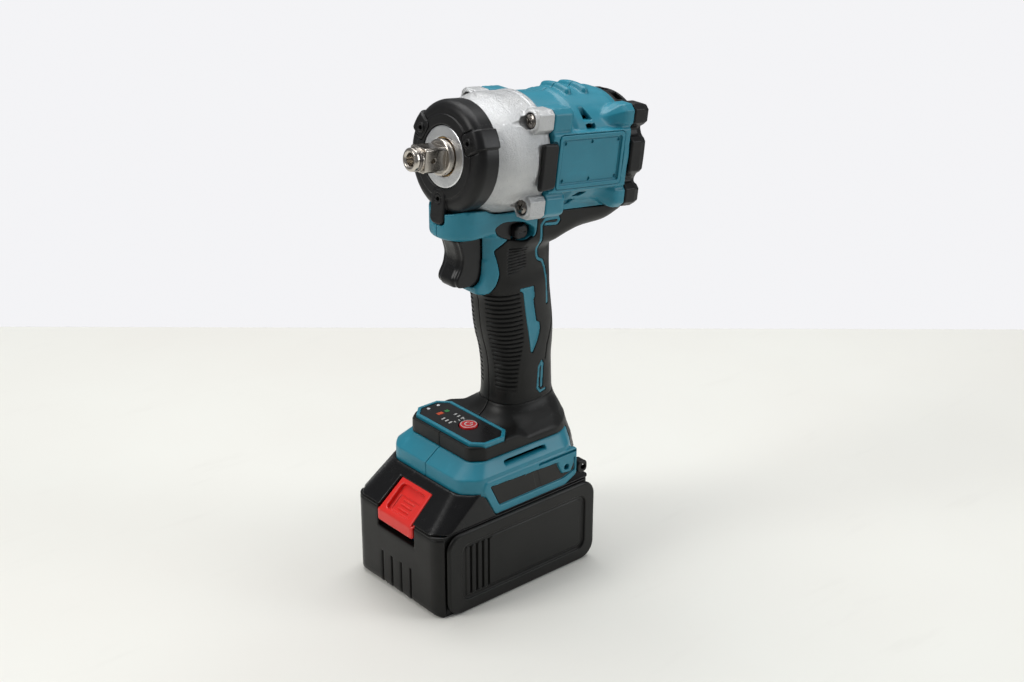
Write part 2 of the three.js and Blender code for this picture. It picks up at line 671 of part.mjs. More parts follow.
// The chin that wraps under the hammer case above the trigger.
function chinSolid(inset) {
  const half = CHIN_HALF - inset;
  const shape = roundedOutline([-half, half], [CHIN_FRONT + inset, 30], 15 - inset);
  return planSweep(shape, CHIN_Z + inset, 222, 5);
}

// An eight-sided plan outline with chamfered corners.
function octagon(half, front, rear, corner) {
  return [
    [half, front + corner], [half, rear - corner * 1.7], [half - corner, rear], [corner - half, rear],
    [-half, rear - corner * 1.7], [-half, front + corner], [corner - half, front], [half - corner, front],
  ];
}

function footLevel(half, front, rear, corner, z, inset) {
  return octagon(half - inset, front + inset, rear - inset, corner).map(([x, y]) => [x, y, z]);
}

// Teal band of the foot.
function bandSolid(inset) {
  return hull([
    ...footLevel(FOOT_HALF, FOOT_FRONT, FOOT_REAR, CORNER, FOOT_Z, inset),
    ...footLevel(FOOT_HALF, FOOT_FRONT, FOOT_REAR, CORNER, BREAK_Z, inset),
    ...footLevel(TOP_HALF, TOP_FRONT, TOP_REAR, CORNER, TOP_Z[0], inset > 0 ? inset + SKIN : 0),
  ]);
}

// Black upper block of the foot.
function topSolid(inset) {
  return hull([
    ...footLevel(TOP_HALF, TOP_FRONT, TOP_REAR, CORNER, TOP_Z[0] - 4, inset),
    ...footLevel(TOP_HALF, TOP_FRONT, TOP_REAR, CORNER, TOP_Z[0] + 2, inset),
    ...footLevel(TOP_HALF, TOP_FRONT, 8, CORNER, TOP_Z[1] - inset, inset),
    ...footLevel(TOP_HALF - 4, 4, TOP_REAR - 6, CORNER, TOP_Z[1] - inset, inset),
  ]);
}

// Round clearance about the drive axis for the case, its bosses, the bumper and the rear cap.
function headClearance() {
  const round = turned([
    [0, -CUT], [TAB_R + 0.2, -CUT], [TAB_R + 0.2, -3], [CASE_R + GAP, 1], [CASE_R + GAP, FLANGE_Y + GAP],
    [0, FLANGE_Y + GAP],
  ], 24);
  const bosses = SCREW_PLACES.map(([x, z]) => rodY(BOSS_R + GAP, x, z, -4, FLANGE_Y + GAP, 10));
  const tab = box([-TAB_WIDTH / 2 - GAP, TAB_WIDTH / 2 + GAP], [-CUT, -18.6 + GAP], [-33 - GAP, 0]);
  const cap = tube(0, BARREL_R + 0.6, BARREL_END_Y, CUT * 2, 24);
  const lobes = CAP_PLACES.map(([x, z]) => rodY(CAP_LOBE_R + GAP, x, z, BARREL_END_Y, CUT * 2, 10));
  return toTool(join(round, ...bosses, tab, cap, ...lobes));
}

function barrelSolid() {
  const shell = turned([
    [0, FLANGE_Y + GAP], [BARREL_R, FLANGE_Y + GAP], [BARREL_R, 42], [BARREL_R + 1.2, 45], [BARREL_R + 1.2, 76],
    [BARREL_R, 79], [BARREL_R, BARREL_END_Y], [0, BARREL_END_Y],
  ], 24);
  const flats = box([-FLAT_X, FLAT_X], [FLANGE_Y + GAP, BARREL_END_Y - 2], [-FLAT_HALF, FLAT_HALF]);
  const frontBosses = SCREW_PLACES.flatMap(([x, z]) => [
    rodY(BOSS_R, x, z, FLANGE_Y + GAP, 36, 10),
    coneY(BOSS_R, 2, x, z, 36, 46, 10),
  ]);
  const rearBosses = CAP_PLACES.flatMap(([x, z]) => [
    rodY(CAP_LOBE_R - 0.4, x, z, 74, BARREL_END_Y, 10),
    coneY(2, CAP_LOBE_R - 0.4, x * 0.94, z * 0.94, 62, 74, 10),
  ]);
  const louvres = [50, 62].map((y) => cut(
    tube(BARREL_R - 1, BARREL_R + 2.3, y, y + 5, 24),
    box([-CUT, CUT], [0, CUT * 2], [-CUT, 24]),
  ));
  return join(shell, flats, ...frontBosses, ...rearBosses, ...louvres);
}

// Vent openings, label recess and screw holes of the barrel.
function barrelCuts() {
  const label = SIDES.map(([, side]) => box(
    side > 0 ? [FLAT_X - 0.6, CUT] : [-CUT, 0.6 - FLAT_X], [31, 73.5], [-11.8, 12.7],
  ));
  const vents = SIDES.flatMap(([, side]) => [[57, 22.6, 5, 3], [58, 18.4, 5.6, 1.8], [56, -18, 6, 1.8], [53, -22.4, 5, 1.8]]
    .map(([y, z, length, height]) => box(
      side > 0 ? [18, CUT] : [-CUT, -18], [y, y + length], [z - height / 2, z + height / 2],
    )));
  const bore = tube(0, BARREL_R - BARREL_WALL, 0, CUT * 2, 24);
  const front = SCREW_PLACES.map(([x, z]) => rodY(SCREW_R + GAP, x, z, 0, SCREW_END_Y + 1));
  const rear = CAP_PLACES.map(([x, z]) => rodY(SCREW_R + GAP, x, z, BARREL_END_Y - 11, CUT * 2));
  return toTool(join(bore, ...label, ...vents, ...front, ...rear, ...padSeats()));
}

// Moves each side of a clockwise outline inwards by a distance.
function shrunk(points, distance) {
  const normal = ([a0, b0], [a1, b1]) => new THREE.Vector2(b1 - b0, a0 - a1).normalize();
  return points.map((point, i) => {
    const before = normal(points.at(i - 1), point);
    const after = normal(point, points[(i + 1) % points.length]);
    const step = before.clone().add(after).multiplyScalar(distance / (1 + before.dot(after)));
    return [point[0] + step.x, point[1] + step.y];
  });
}

// Side outline of everything that the black overmould covers.
function blackZone(inset = 0) {
  const edge = [
    [1.5, 164.6], [6.5, 175], [2.4, 189.4], [10.6, 194.4], [18, 193.2], [25.1, 195.2], [27, 206], [43, 204.6],
    [81, 200], [CUT * 2, 196], [CUT * 2, TOP_Z[0]], [-CUT, TOP_Z[0]], [-CUT, 120], [-10, 164],
  ];
  return sideSweep(outline(shrunk(edge, inset)), -CUT, CUT);
}

const HOUSING_SCREWS = [[-14, 204.2], [72, 195.4], [27, 152], [29.5, 108]];

// Bosses that run across the shell for the screws that close it.
function bossAt([y, z]) {
  const reach = GRIP_HALF * 0.98 - SKIN - 2 * GAP;
  return rodX(3.8, y, z, -reach, reach, 16);
}

function screwBore([y, z]) {
  return join(rodX(1.5 + GAP, y, z, -CUT, 11, 12), rodX(3.2 + GAP, y, z, -CUT, -11, 10));
}

function makeHousingScrew([y, z]) {
  const shank = rodX(1.5, y, z, -12, 10, 10);
  const capHead = rodX(3.2, y, z, -13.3, -11 - GAP, 16);
  return cut(join(shank, capHead), rodX(1.3, y, z, -CUT, -12.2, 6));
}

// Outside of the whole body below the barrel.
const bodyOuter = (inset) => join(handleSolid(inset), keelSolid(inset), chinSolid(inset));

function skirts() {
  const shape = outline([
    [SKIRT_Y[0] - 6.5, FOOT_Z + 1], [SKIRT_Y[0], SKIRT_Z], [SKIRT_Y[1] - 4, SKIRT_Z + 1.6], [SKIRT_Y[1], SKIRT_Z + 5.6],
    [SKIRT_Y[1], BREAK_Z - 3], [SKIRT_Y[0] - 6.5, BREAK_Z - 3],
  ]);
  return SIDES.map(([, side]) => sideSweep(shape, ...(side > 0 ? SKIRT_X : [-SKIRT_X[1], -SKIRT_X[0]])));
}

function rails() {
  return SIDES.map(([, side]) => box(
    side > 0 ? [RAIL_X, SKIRT_X[0] + 1] : [-SKIRT_X[0] - 1, -RAIL_X], [SKIRT_Y[0] + 3, SKIRT_Y[1] - 3], RAIL_Z,
  ));
}

// Slots in the foot's sloping shoulder and the label recess in its skirt.
function footCuts() {
  return SIDES.flatMap(([, side]) => [
    box(side > 0 ? [30.5, CUT] : [-CUT, -30.5], [-6.9, 22.3], [75.6, 77.2]),
    box(side > 0 ? [33.4, CUT] : [-CUT, -33.4], [14.7, 40.3], [69, 70.2]),
    sideSweep(outline([[-19.4, 67.4], [-13.1, 54.4], [28, 58.4], [28, 66.8]]),
      ...(side > 0 ? [SKIRT_X[1] - 0.9, CUT] : [-CUT, 0.9 - SKIRT_X[1]])),
  ]);
}

function triggerPocket() {
  const side = TRIGGER_HALF + RUN;
  return box([-side, side], [-CUT, TRIGGER_BACK + TRIGGER_TRAVEL + 1], [TRIGGER_Z[0] - RUN, TRIGGER_Z[1] + RUN]);
}

function leverHole() {
  return box([-CUT, CUT], [LEVER_Y - 5.4, LEVER_Y + 5.4], [LEVER_Z - 4.3, LEVER_Z + 4.3]);
}

function makeShell() {
  const core = SKIN + GAP;
  const teal = cut(bodyOuter(0), blackZone());
  const band = join(bandSolid(0), ...skirts());
  const outside = join(toTool(barrelSolid()), bodyOuter(core), teal, band, topSolid(core));
  const deep = core + WALL;
  const underCase = toTool(tube(0, CASE_R + GAP + WALL, -CUT, FLANGE_Y + GAP, 24));
  const hollow = join(
    cut(bodyOuter(deep), underCase),
    bandSolid(WALL), topSolid(deep), box([-SKIRT_X[0], SKIRT_X[0]], [-CUT, CUT], [SKIRT_Z - 1, FOOT_Z + 0.2]),
    box([-FOOT_HALF + WALL + 6, FOOT_HALF - WALL - 6], [-27, 45], [FOOT_Z - 1, FOOT_Z + 3]),
  );
  const bosses = HOUSING_SCREWS.map(bossAt);
  return cut(
    join(cut(outside, hollow, headClearance(), barrelCuts()), ...bosses, ...rails()),
    ...HOUSING_SCREWS.map(screwBore), ...footCuts(), triggerPocket(), leverHole(), stemHole(), panelSeat(),
  );
}

function stemHole() {
  return rodY(STEM_R + 3, 0, (TRIGGER_Z[0] + TRIGGER_Z[1]) / 2, TRIGGER_BACK, SWITCH_Y[0] + 2);
}

function panelSeat() {
  const shape = outline(octagon(PANEL_HALF - 2 + GAP, PANEL_Y[0] + 2 - GAP, PANEL_Y[1] - 2 + GAP, 6));
  return planSweep(shape, TOP_Z[1] - 6, CUT * 2);
}

function makeGrip() {
  const skin = cut(join(handleSolid(0), keelSolid(0), topSolid(0)), join(handleSolid(SKIN), keelSolid(SKIN), topSolid(SKIN)));
  const black = skin.intersect(blackZone(GAP));
  const barrel = toTool(join(tube(0, BARREL_R + GAP, 0, BARREL_END_Y, 24), tube(0, BARREL_R + 1.5, 42, BARREL_END_Y, 24)));
  return cut(
    black, barrel, headClearance(), triggerPocket(), leverHole(), panelSeat(),
    ...HOUSING_SCREWS.map(screwBore),
  );
}

function halfOf(whole, side) {
  return whole.intersect(box(side > 0 ? [GAP / 2, CUT] : [-CUT, -GAP / 2], [-CUT * 2, CUT * 2], [-CUT, CUT * 6]));
}

// ---------------------------------------------------------------- controls

function makeTrigger() {
  const [z0, z1] = TRIGGER_Z;
  const shape = new THREE.Shape();
  shape.moveTo(TRIGGER_BACK, z1);
  shape.lineTo(-18.6, z1);
  shape.quadraticCurveTo(-12.4, (z0 + z1) / 2, -19.6, z0 + 6.6);
  shape.quadraticCurveTo(-19.2, z0 + 0.6, -11.8, z0);
  shape.lineTo(TRIGGER_BACK, z0 + 1.2);
  const body = sideSweep(shape, -TRIGGER_HALF, TRIGGER_HALF, 2.2, 6);
  const stem = rodY(STEM_R, 0, (z0 + z1) / 2, TRIGGER_BACK - 1, SWITCH_Y[0] - RUN - TRIGGER_TRAVEL + 3);
  return join(body, stem);
}

function makeSwitch() {
  const body = box([-SWITCH_HALF, SWITCH_HALF], SWITCH_Y, SWITCH_Z);
  const step = box([-SWITCH_HALF + 2, SWITCH_HALF - 2], [SWITCH_Y[0] + 6, SWITCH_Y[1] + 4], [SWITCH_Z[0] + 3, SWITCH_Z[1] - 4]);
  const bore = rodY(STEM_R + RUN, 0, (TRIGGER_Z[0] + TRIGGER_Z[1]) / 2, SWITCH_Y[0] - 1, SWITCH_Y[0] + 8);
  return cut(join(body, step), bore);
}

function makeLever() {
  const bar = box([-LEVER_HALF + 4, LEVER_HALF - 4], [LEVER_Y - 4.6, LEVER_Y + 4.6], [LEVER_Z - 3.4, LEVER_Z + 3.4]);
  const knobs = SIDES.map(([, side]) => rodX(3.8, LEVER_Y, LEVER_Z, ...(side > 0 ? [10, LEVER_HALF] : [-LEVER_HALF, -10]), 10));
  return join(bar, ...knobs);
}

function makePanelFrame() {
  const outer = planSweep(outline(octagon(PANEL_HALF, ...PANEL_Y, 6)), TOP_Z[1] + GAP, PANEL_Z);
  const plug = planSweep(outline(octagon(PANEL_HALF - 2, PANEL_Y[0] + 2, PANEL_Y[1] - 2, 6)), TOP_Z[1] - 2, TOP_Z[1] + 1);
  const well = planSweep(outline(octagon(PANEL_HALF - 2.2, PANEL_Y[0] + 2.2, PANEL_Y[1] - 2.2, 5)), TOP_Z[1] - 0.4, CUT * 2);
  return cut(join(outer, plug), well, rodZ(BUTTON_R + RUN, BUTTON_X, BUTTON_Y, 0, CUT * 2));
}

function makePanelPlate() {
  const reach = 2.2 + GAP;
  const shape = outline(octagon(PANEL_HALF - reach, PANEL_Y[0] + reach, PANEL_Y[1] - reach, 5));
  const plate = planSweep(shape, TOP_Z[1] - 0.4 + GAP, PANEL_Z - 0.5);
  return cut(plate, rodZ(BUTTON_R + RUN, BUTTON_X, BUTTON_Y, 0, CUT * 2));
}

function makeButton() {
  const cap = rodZ(BUTTON_R, BUTTON_X, BUTTON_Y, TOP_Z[1] - 2.4, PANEL_Z + 0.3);
  const lip = rodZ(BUTTON_R + 1.2, BUTTON_X, BUTTON_Y, TOP_Z[1] - 3.2, TOP_Z[1] - 2.3);
  return join(cap, lip);
}

function makeBoard() {
  const board = box([-19, 19], [-17, -1], [TOP_Z[1] - 8, TOP_Z[1] - 6.4]);
  const chips = [[-12, -11, 8, 6], [-2, -6, 5, 4], [12, -12, 6, 6]].map(([x, y, wide, deep]) =>
    box([x - wide / 2, x + wide / 2], [y - deep / 2, y + deep / 2], [TOP_Z[1] - 7, TOP_Z[1] - 5.6]));
  return join(board, ...chips);
}

// ---------------------------------------------------------------- foot fittings

const BLADE_X = [-15, 0, 15];

function makeTerminals() {
  const block = box([-22, 22], [-6, 26], [DECK_Z + 1, DECK_Z + 6]);
  const blades = BLADE_X.map((x) => box([x - 0.6, x + 0.6], [2, 22], [DECK_Z - 6, DECK_Z + 2]));
  return join(block, ...blades);
}

function makeStrapLoop() {
  const shape = roundedOutline([43, 50], [54, 61], 2.4);
  const bar = sideSweep(shape, 30, 36.4, 0, 3);
  return cut(bar, rodX(1.6, 47.2, 57.5, 0, CUT, 12));
}

// ---------------------------------------------------------------- battery

function makeBatteryLower() {
  const shape = roundedOutline([-CORE_HALF, CORE_HALF], [PACK_FRONT, PACK_REAR - 1], 5);
  const body = planSweep(shape, 0, PACK_Z);
  const low = hull([
    [-CORE_HALF - 1, -CUT * 2, 6], [CORE_HALF + 1, -CUT * 2, 6], [-CORE_HALF - 1, PACK_FRONT + 2, -1], [CORE_HALF + 1, PACK_FRONT + 2, -1],
    [-CORE_HALF - 1, -CUT * 2, -1], [CORE_HALF + 1, -CUT * 2, -1], [-CORE_HALF - 1, PACK_FRONT - 0.4, 6], [CORE_HALF + 1, PACK_FRONT - 0.4, 6],
  ]);
  const sides = SIDES.map(([, side]) => box(
    side > 0 ? [COVER_X, CUT] : [-CUT, -COVER_X], [COVER_FRONT - GAP, CUT], [-1, CUT],
  ));
  const inside = box([-CELL_HALF - 1, CELL_HALF + 1], [PACK_FRONT + 4, PACK_REAR - 4], [2.4, CUT]);
  const grooves = [-12.5, -4.15, 4.15, 12.5].map((x) => box([x - 0.6, x + 0.6], [-CUT * 2, PACK_FRONT + 0.9], [2, 21.5]));
  return cut(body, low, ...sides, inside, ...grooves, latchPocket());
}

function makeBatteryCover(side) {
  const face = [COVER_FRONT, PACK_REAR];
  const plate = sideSweep(roundedOutline(face, [0, PACK_Z], PACK_R), COVER_X + GAP, PACK_HALF, 1.2, 3);
  const panel = sideSweep(roundedOutline([face[0] + 9, face[1] - 7.5], [8, 41], 5), PACK_HALF - 1.2, CUT, 0, 3);
  const grooves = [0, 1, 2, 3].map((i) => box([PACK_HALF - 2, CUT], [-39 + i * 4.2, -37.2 + i * 4.2], [11, 38]));
  const cover = geometryOf(cut(plate, panel, ...grooves));
  return side > 0 ? cover : cover.rotateZ(Math.PI).translate(0, face[0] + face[1], 0);
}

function deckSolid() {
  const deck = box([-DECK_HALF, DECK_HALF], [-24, DECK_REAR], [PACK_Z - 1, DECK_Z]);
  const lid = hull([
    [-CORE_HALF, PACK_FRONT + 0.3, PACK_Z + GAP], [CORE_HALF, PACK_FRONT + 0.3, PACK_Z + GAP],
    [-CORE_HALF + 1, PACK_FRONT - 0.1 + 1.2, PACK_Z + 2.4], [CORE_HALF - 1, PACK_FRONT + 1.1, PACK_Z + 2.4],
    [-30, SHOULDER_TOP_Y, SHOULDER_TOP], [30, SHOULDER_TOP_Y, SHOULDER_TOP],
    [-32, FOOT_FRONT - 0.6, SHOULDER_TOP], [32, FOOT_FRONT - 0.6, SHOULDER_TOP],
    [-33, -25, DECK_Z - 0.4], [33, -25, DECK_Z - 0.4], [-CORE_HALF, -20, PACK_Z + GAP], [CORE_HALF, -20, PACK_Z + GAP],
  ]);
  const under = box([-CUT, CUT], [FOOT_FRONT - 0.6, CUT], [DECK_Z, CUT * 2]);
  const plate = box([-COVER_X + 0.6, COVER_X - 0.6], [-24, PACK_REAR - 1], [PACK_Z - 1, PACK_Z + 0.9]);
  return join(cut(lid, under), deck, plate);
}

function makeBatteryUpper() {
  const grooves = SIDES.map(([, side]) => box(
    side > 0 ? [RAIL_X - RUN, CUT] : [-CUT, RUN - RAIL_X], [-CUT, CUT], [RAIL_Z[0] - RUN, RAIL_Z[1] + RUN],
  ).intersect(box([-CUT, CUT], [SKIRT_Y[0] + 2, CUT], [0, CUT * 2])));
  const slots = BLADE_X.map((x) => box([x - 1.2, x + 1.2], [1, CUT], [DECK_Z - 7, CUT * 2]));
  const inside = join(
    box([-DECK_HALF + 7, DECK_HALF - 7], [-33, DECK_REAR - 3], [PACK_Z - 2, DECK_Z - 9]),
    box([-24, 24], [-34, -4], [PACK_Z - 2, DECK_Z - 2.4]),
  );
  const lower = box([-CUT, CUT], [-CUT * 2, CUT * 2], [0, PACK_Z + GAP]);
  return cut(deckSolid(), lower, ...grooves, ...slots, inside, latchPocket());
}

const LATCH = [[-57.1, 40.6], [-57.1, 48.2], [-40.6, 62.2], [-38.4, 60], [-38.4, 52], [-52.6, 44.6], [-52.6, 40.6]];

function latchPocket() {
  const side = LATCH_HALF + 0.4;
  const front = PACK_FRONT - 6;
  const place = ([y, z], lift) => [y < PACK_FRONT ? front : y + 0.4, z + lift];
  const above = LATCH.map((point) => place(point, 4));
  const below = LATCH.map((point) => place(point, -LATCH_TRAVEL - 0.6));
  return hull([...above, ...below].flatMap(([y, z]) => [[-side, y, z], [side, y, z]]));
}

function makeLatch() {
  const body = sideSweep(outline(LATCH), -LATCH_HALF, LATCH_HALF);
  const ribs = [0, 1, 2].map((i) => {
    const y = -53.2 + i * 3.4;
    return box([-5, 5], [y, y + 1], [40, 47.6 + 5.4 + i * 2.9]);
  });
  const well = hull([[-9, -53.8, 50.2], [9, -53.8, 50.2], [-8, -45.2, 57.4], [8, -45.2, 57.4],
    [-9, -56, 53], [9, -56, 53], [-8, -47, 60], [8, -47, 60]]);
  return join(cut(body, well), ...ribs.map((rib) => rib.intersect(body)));
}

function makeCellRow(z) {
  const cells = [];
  const step = CELL_R * 2 + GAP;
  for (let i = 0; i < CELLS; i += 1) {
    cells.push(rodX(CELL_R, (i - (CELLS - 1) / 2) * step, z, -CELL_HALF, CELL_HALF, 12));
  }
  const strip = box([CELL_HALF - 0.4, CELL_HALF + 0.2], [-step * 2 - 3, step * 2 + 3], [z - 3, z + 3]);
  return join(...cells, strip);
}

// ---------------------------------------------------------------- put together

add(head, 'anvil', makeAnvil(), STEEL);
add(head, 'friction_ring', makeFrictionRing(), DARK_STEEL);
add(head, 'front_bush', tube(JOURNAL_R + 0.35, BUSH_R, NOSE_FACE_Y + 1.6 + GAP, WING_Y[0] - RUN - 0.6), BRONZE);
add(head, 'hammer_case', makeHammerCase(), CAST);
add(head, 'nose_bumper', makeBumper(), RUBBER);
SCREW_PLACES.forEach((place, i) => add(head, `case_screw_${i + 1}`, makeCaseScrew(place), DARK_STEEL));
add(head, 'hammer', makeHammer(), DARK_STEEL);
add(head, 'spindle_carrier', makeSpindle(), STEEL);
add(head, 'hammer_spring', coil(14.8, 1.5, 2.6, SPRING_SEAT_Y + GAP, CARRIER_Y - GAP), STEEL);
add(head, 'ring_gear', makeRingGear(), DARK_STEEL);
for (let k = 0; k < PLANETS; k += 1) add(head, `planet_gear_${k + 1}`, makePlanet(k), STEEL);
add(head, 'gear_plate', makeGearPlate(), BLACK);
add(head, 'rotor_shaft', makeShaft(), STEEL);
add(head, 'rotor_core', tube(SHAFT_R + GAP, ROTOR_R, ...ROTOR_Y), DARK_STEEL);
add(head, 'stator_core', makeStator(), DARK_STEEL);
add(head, 'winding_front', makeWinding(STATOR_Y[0] - GAP - WINDING), COPPER);
add(head, 'winding_rear', makeWinding(STATOR_Y[1] + GAP), COPPER);
add(head, 'bearing_front', tube(SHAFT_R + GAP, BEARING_R, FRONT_BEARING_Y, FRONT_BEARING_Y + BEARING), STEEL);
add(head, 'bearing_rear', tube(SHAFT_R + GAP, BEARING_R, REAR_BEARING_Y, REAR_BEARING_Y + BEARING), STEEL);
add(head, 'cooling_fan', makeFan(), BLACK);
add(head, 'rear_cap', makeRearCap(), BLACK);
CAP_PLACES.forEach((place, i) => add(head, `cap_screw_${i + 1}`, makeCapScrew(place), DARK_STEEL));
for (const [name, side] of SIDES) add(head, `side_pad_${name}`, makePad(side), RUBBER);

const shell = makeShell();
const grip = makeGrip();
for (const [name, side] of SIDES) add(tool, `housing_${name}`, halfOf(shell, side), TEAL);
for (const [name, side] of SIDES) add(tool, `grip_${name}`, halfOf(grip, side), BLACK);
HOUSING_SCREWS.forEach((place, i) => add(tool, `housing_screw_${i + 1}`, makeHousingScrew(place), DARK_STEEL));

add(tool, 'trigger', makeTrigger(), BLACK);
add(tool, 'switch_body', makeSwitch(), BLACK);
const springZ = (TRIGGER_Z[0] + TRIGGER_Z[1]) / 2;
const triggerSpring = coil(STEM_R + 1.3, 0.5, 4, TRIGGER_BACK + GAP, SWITCH_Y[0] - GAP).translate(0, 0, springZ);
add(tool, 'trigger_spring', triggerSpring, STEEL);
add(tool, 'direction_lever', makeLever(), BLACK);
add(tool, 'panel_frame', makePanelFrame(), TEAL);
add(tool, 'panel_plate', makePanelPlate(), BLACK);
add(tool, 'power_button', makeButton(), RED);
add(tool, 'control_board', makeBoard(), BOARD);
add(tool, 'terminal_block', makeTerminals(), BLACK);
add(tool, 'strap_loop', makeStrapLoop(), BLACK);

add(tool, 'battery_lower', makeBatteryLower(), BLACK);
add(tool, 'battery_upper', makeBatteryUpper(), BLACK);
for (const [name, side] of SIDES) add(tool, `battery_cover_${name}`, makeBatteryCover(side), BLACK);
add(tool, 'battery_latch', makeLatch(), RED);
add(tool, 'cell_row_lower', makeCellRow(3 + CELL_R), CELL);
add(tool, 'cell_row_upper', makeCellRow(3 + CELL_R * 3 + GAP), CELL);

export default tool;
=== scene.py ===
"""Looks of the cordless impact wrench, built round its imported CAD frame."""
import json
import math

import bmesh
import bpy
import numpy as np
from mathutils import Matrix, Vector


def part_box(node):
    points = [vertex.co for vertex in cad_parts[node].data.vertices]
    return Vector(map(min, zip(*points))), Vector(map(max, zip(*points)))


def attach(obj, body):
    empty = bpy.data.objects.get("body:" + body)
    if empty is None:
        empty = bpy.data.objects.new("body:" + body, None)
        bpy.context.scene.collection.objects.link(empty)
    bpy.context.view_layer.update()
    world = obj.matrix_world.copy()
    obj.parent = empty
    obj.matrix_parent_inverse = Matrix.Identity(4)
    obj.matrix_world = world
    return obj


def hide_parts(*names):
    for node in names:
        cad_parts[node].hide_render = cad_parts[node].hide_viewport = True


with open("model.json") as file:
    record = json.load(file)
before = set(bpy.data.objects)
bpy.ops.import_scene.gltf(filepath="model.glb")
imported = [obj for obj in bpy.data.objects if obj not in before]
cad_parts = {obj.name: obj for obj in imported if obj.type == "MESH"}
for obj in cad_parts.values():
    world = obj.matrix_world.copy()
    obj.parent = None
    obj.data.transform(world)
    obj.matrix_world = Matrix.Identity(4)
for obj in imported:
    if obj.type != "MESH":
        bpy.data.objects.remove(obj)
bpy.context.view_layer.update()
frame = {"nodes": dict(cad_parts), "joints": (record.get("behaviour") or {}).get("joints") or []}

import openvdb
from mathutils import Matrix, Vector

MM = 0.001
COARSE = 1.0

# ---- places from the frame, in millimetres


def span(node):
    low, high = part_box(node)
    return [v / MM for v in low], [v / MM for v in high]


spin = next(j for j in frame["joints"] if j["name"] == "carrier_spin")
AXIS = Vector(spin["axis"]).normalized()
TILT_C, TILT_S = AXIS.y, -AXIS.z
HEAD_Z = (spin["pos_m"][2] - spin["pos_m"][1] * AXIS.z / AXIS.y) / MM

(_, PACK_BACK, _), (PACK_HALF, PACK_REAR, PACK_TOP) = span("battery_cover_left")
CORE_HALF, PACK_FRONT = span("battery_lower")[1][0], span("battery_lower")[0][1]
SHOULDER_TOP = span("battery_upper")[1][2]
(_, PANEL_FRONT, _), (PANEL_HALF, PANEL_BACK, PANEL_TOP) = span("panel_frame")
LATCH_HALF = span("battery_latch")[1][0]
(_, TRIGGER_FRONT, TRIGGER_LOW), (TRIGGER_HALF, _, TRIGGER_TOP) = span("trigger")
(BUTTON_LOW, BUTTON_HIGH) = span("power_button")
BUTTON_X, BUTTON_Y = (BUTTON_LOW[0] + BUTTON_HIGH[0]) / 2, (BUTTON_LOW[1] + BUTTON_HIGH[1]) / 2

SIDES = (("left", 1), ("right", -1))
SCREW_X, SCREW_TOP, SCREW_LOW, CAP_SCREW = 25.0, 21.8, -22.8, 21.5
NOSE_FACE, FLANGE, BARREL_END, CAP_END = -20.2, 24.5, 81.0, 93.0
NOSE_TIP = -41.75
FLAT_X = 31.8   # flat sides of the barrel
LEVER_Y, LEVER_Z = 16.4, 198.0
DIAGONAL = 0.7071


def from_head(x, s, t):
    """A point given across, along and above the drive axis, in the row frame."""
    return (x, s * TILT_C + t * TILT_S, HEAD_Z - s * TILT_S + t * TILT_C)


# ---- distance fields


class Field:
    """A block of space that holds the signed distance to a piece's surface, in millimetres.
    x, y, z are the row frame; s and t run along the drive axis and up from it."""

    def __init__(self, low, high, step):
        self.step = step * COARSE
        axes = [np.arange(a, b + self.step, self.step, dtype=np.float32) for a, b in zip(low, high)]
        self.low = low
        self.x, self.y, self.z = axes[0][:, None, None], axes[1][None, :, None], axes[2][None, None, :]
        self.s = self.y * TILT_C - (self.z - HEAD_Z) * TILT_S
        self.t = self.y * TILT_S + (self.z - HEAD_Z) * TILT_C
        self.d = np.full([len(a) for a in axes], 30.0, np.float32)

    @classmethod
    def along_head(cls, low, high, step):
        return cls(*head_box(low, high), step)

    def part(self, low, high):
        """The same field, looked at only inside a box."""
        view = object.__new__(Field)
        cuts = []
        for axis, a, b in zip((self.x, self.y, self.z), low, high):
            i, j = np.searchsorted(axis.ravel(), [a, b])
            cuts.append(slice(max(i - 1, 0), j + 1))
        view.step, view.low = self.step, low
        view.x, view.y, view.z = self.x[cuts[0]], self.y[:, cuts[1]], self.z[:, :, cuts[2]]
        view.s, view.t = self.s[:, cuts[1], cuts[2]], self.t[:, cuts[1], cuts[2]]
        view.d = self.d[tuple(cuts)]
        return view

    def head(self, low, high):
        return self.part(*head_box(low, high))

    @property
    def r(self):
        return np.sqrt(self.x * self.x + self.t * self.t)

    def add(self, shape, radius=0.0):
        self.d[...] = union(self.d, shape, radius)

    def keep(self, shape, radius=0.0):
        self.d[...] = meet(self.d, shape, radius)

    def cut(self, shape, radius=0.0):
        self.d[...] = meet(self.d, -shape, radius)


def head_box(low, high):
    corners = [from_head(0, s, t) for s in (low[1], high[1]) for t in (low[2], high[2])]
    ys, zs = [c[1] for c in corners], [c[2] for c in corners]
    return (low[0], min(ys), min(zs)), (high[0], max(ys), max(zs))


def meet(a, b, radius=0.0):
    """What two shapes share, with an edge of that radius."""
    if radius <= 0:
        return np.maximum(a, b)
    u, v = np.maximum(a + radius, 0), np.maximum(b + radius, 0)
    return np.sqrt(u * u + v * v) + np.minimum(np.maximum(a, b) + radius, 0) - radius


def union(a, b, radius=0.0):
    """Both shapes together, with a fillet of that radius."""
    return -meet(-a, -b, radius)


both, either = np.maximum, np.minimum   # meet and union with sharp edges


def slab(v, low, high):
    return np.abs(v - (low + high) / 2) - (high - low) / 2


def rect(a, b, low, high, radius=0.0):
    """A rectangle in two coordinates with rounded corners."""
    u = slab(a, low[0], high[0]) + radius
    v = slab(b, low[1], high[1]) + radius
    return np.hypot(np.maximum(u, 0), np.maximum(v, 0)) + np.minimum(np.maximum(u, v), 0) - radius


def rod(a, b, centre, radius):
    return np.hypot(a - centre[0], b - centre[1]) - radius


def eight_sided(u, v, half, corner):
    """A square with cut corners, from the distances off its middle in two coordinates."""
    return both(both(u, v) - half, (u + v) * DIAGONAL - corner)


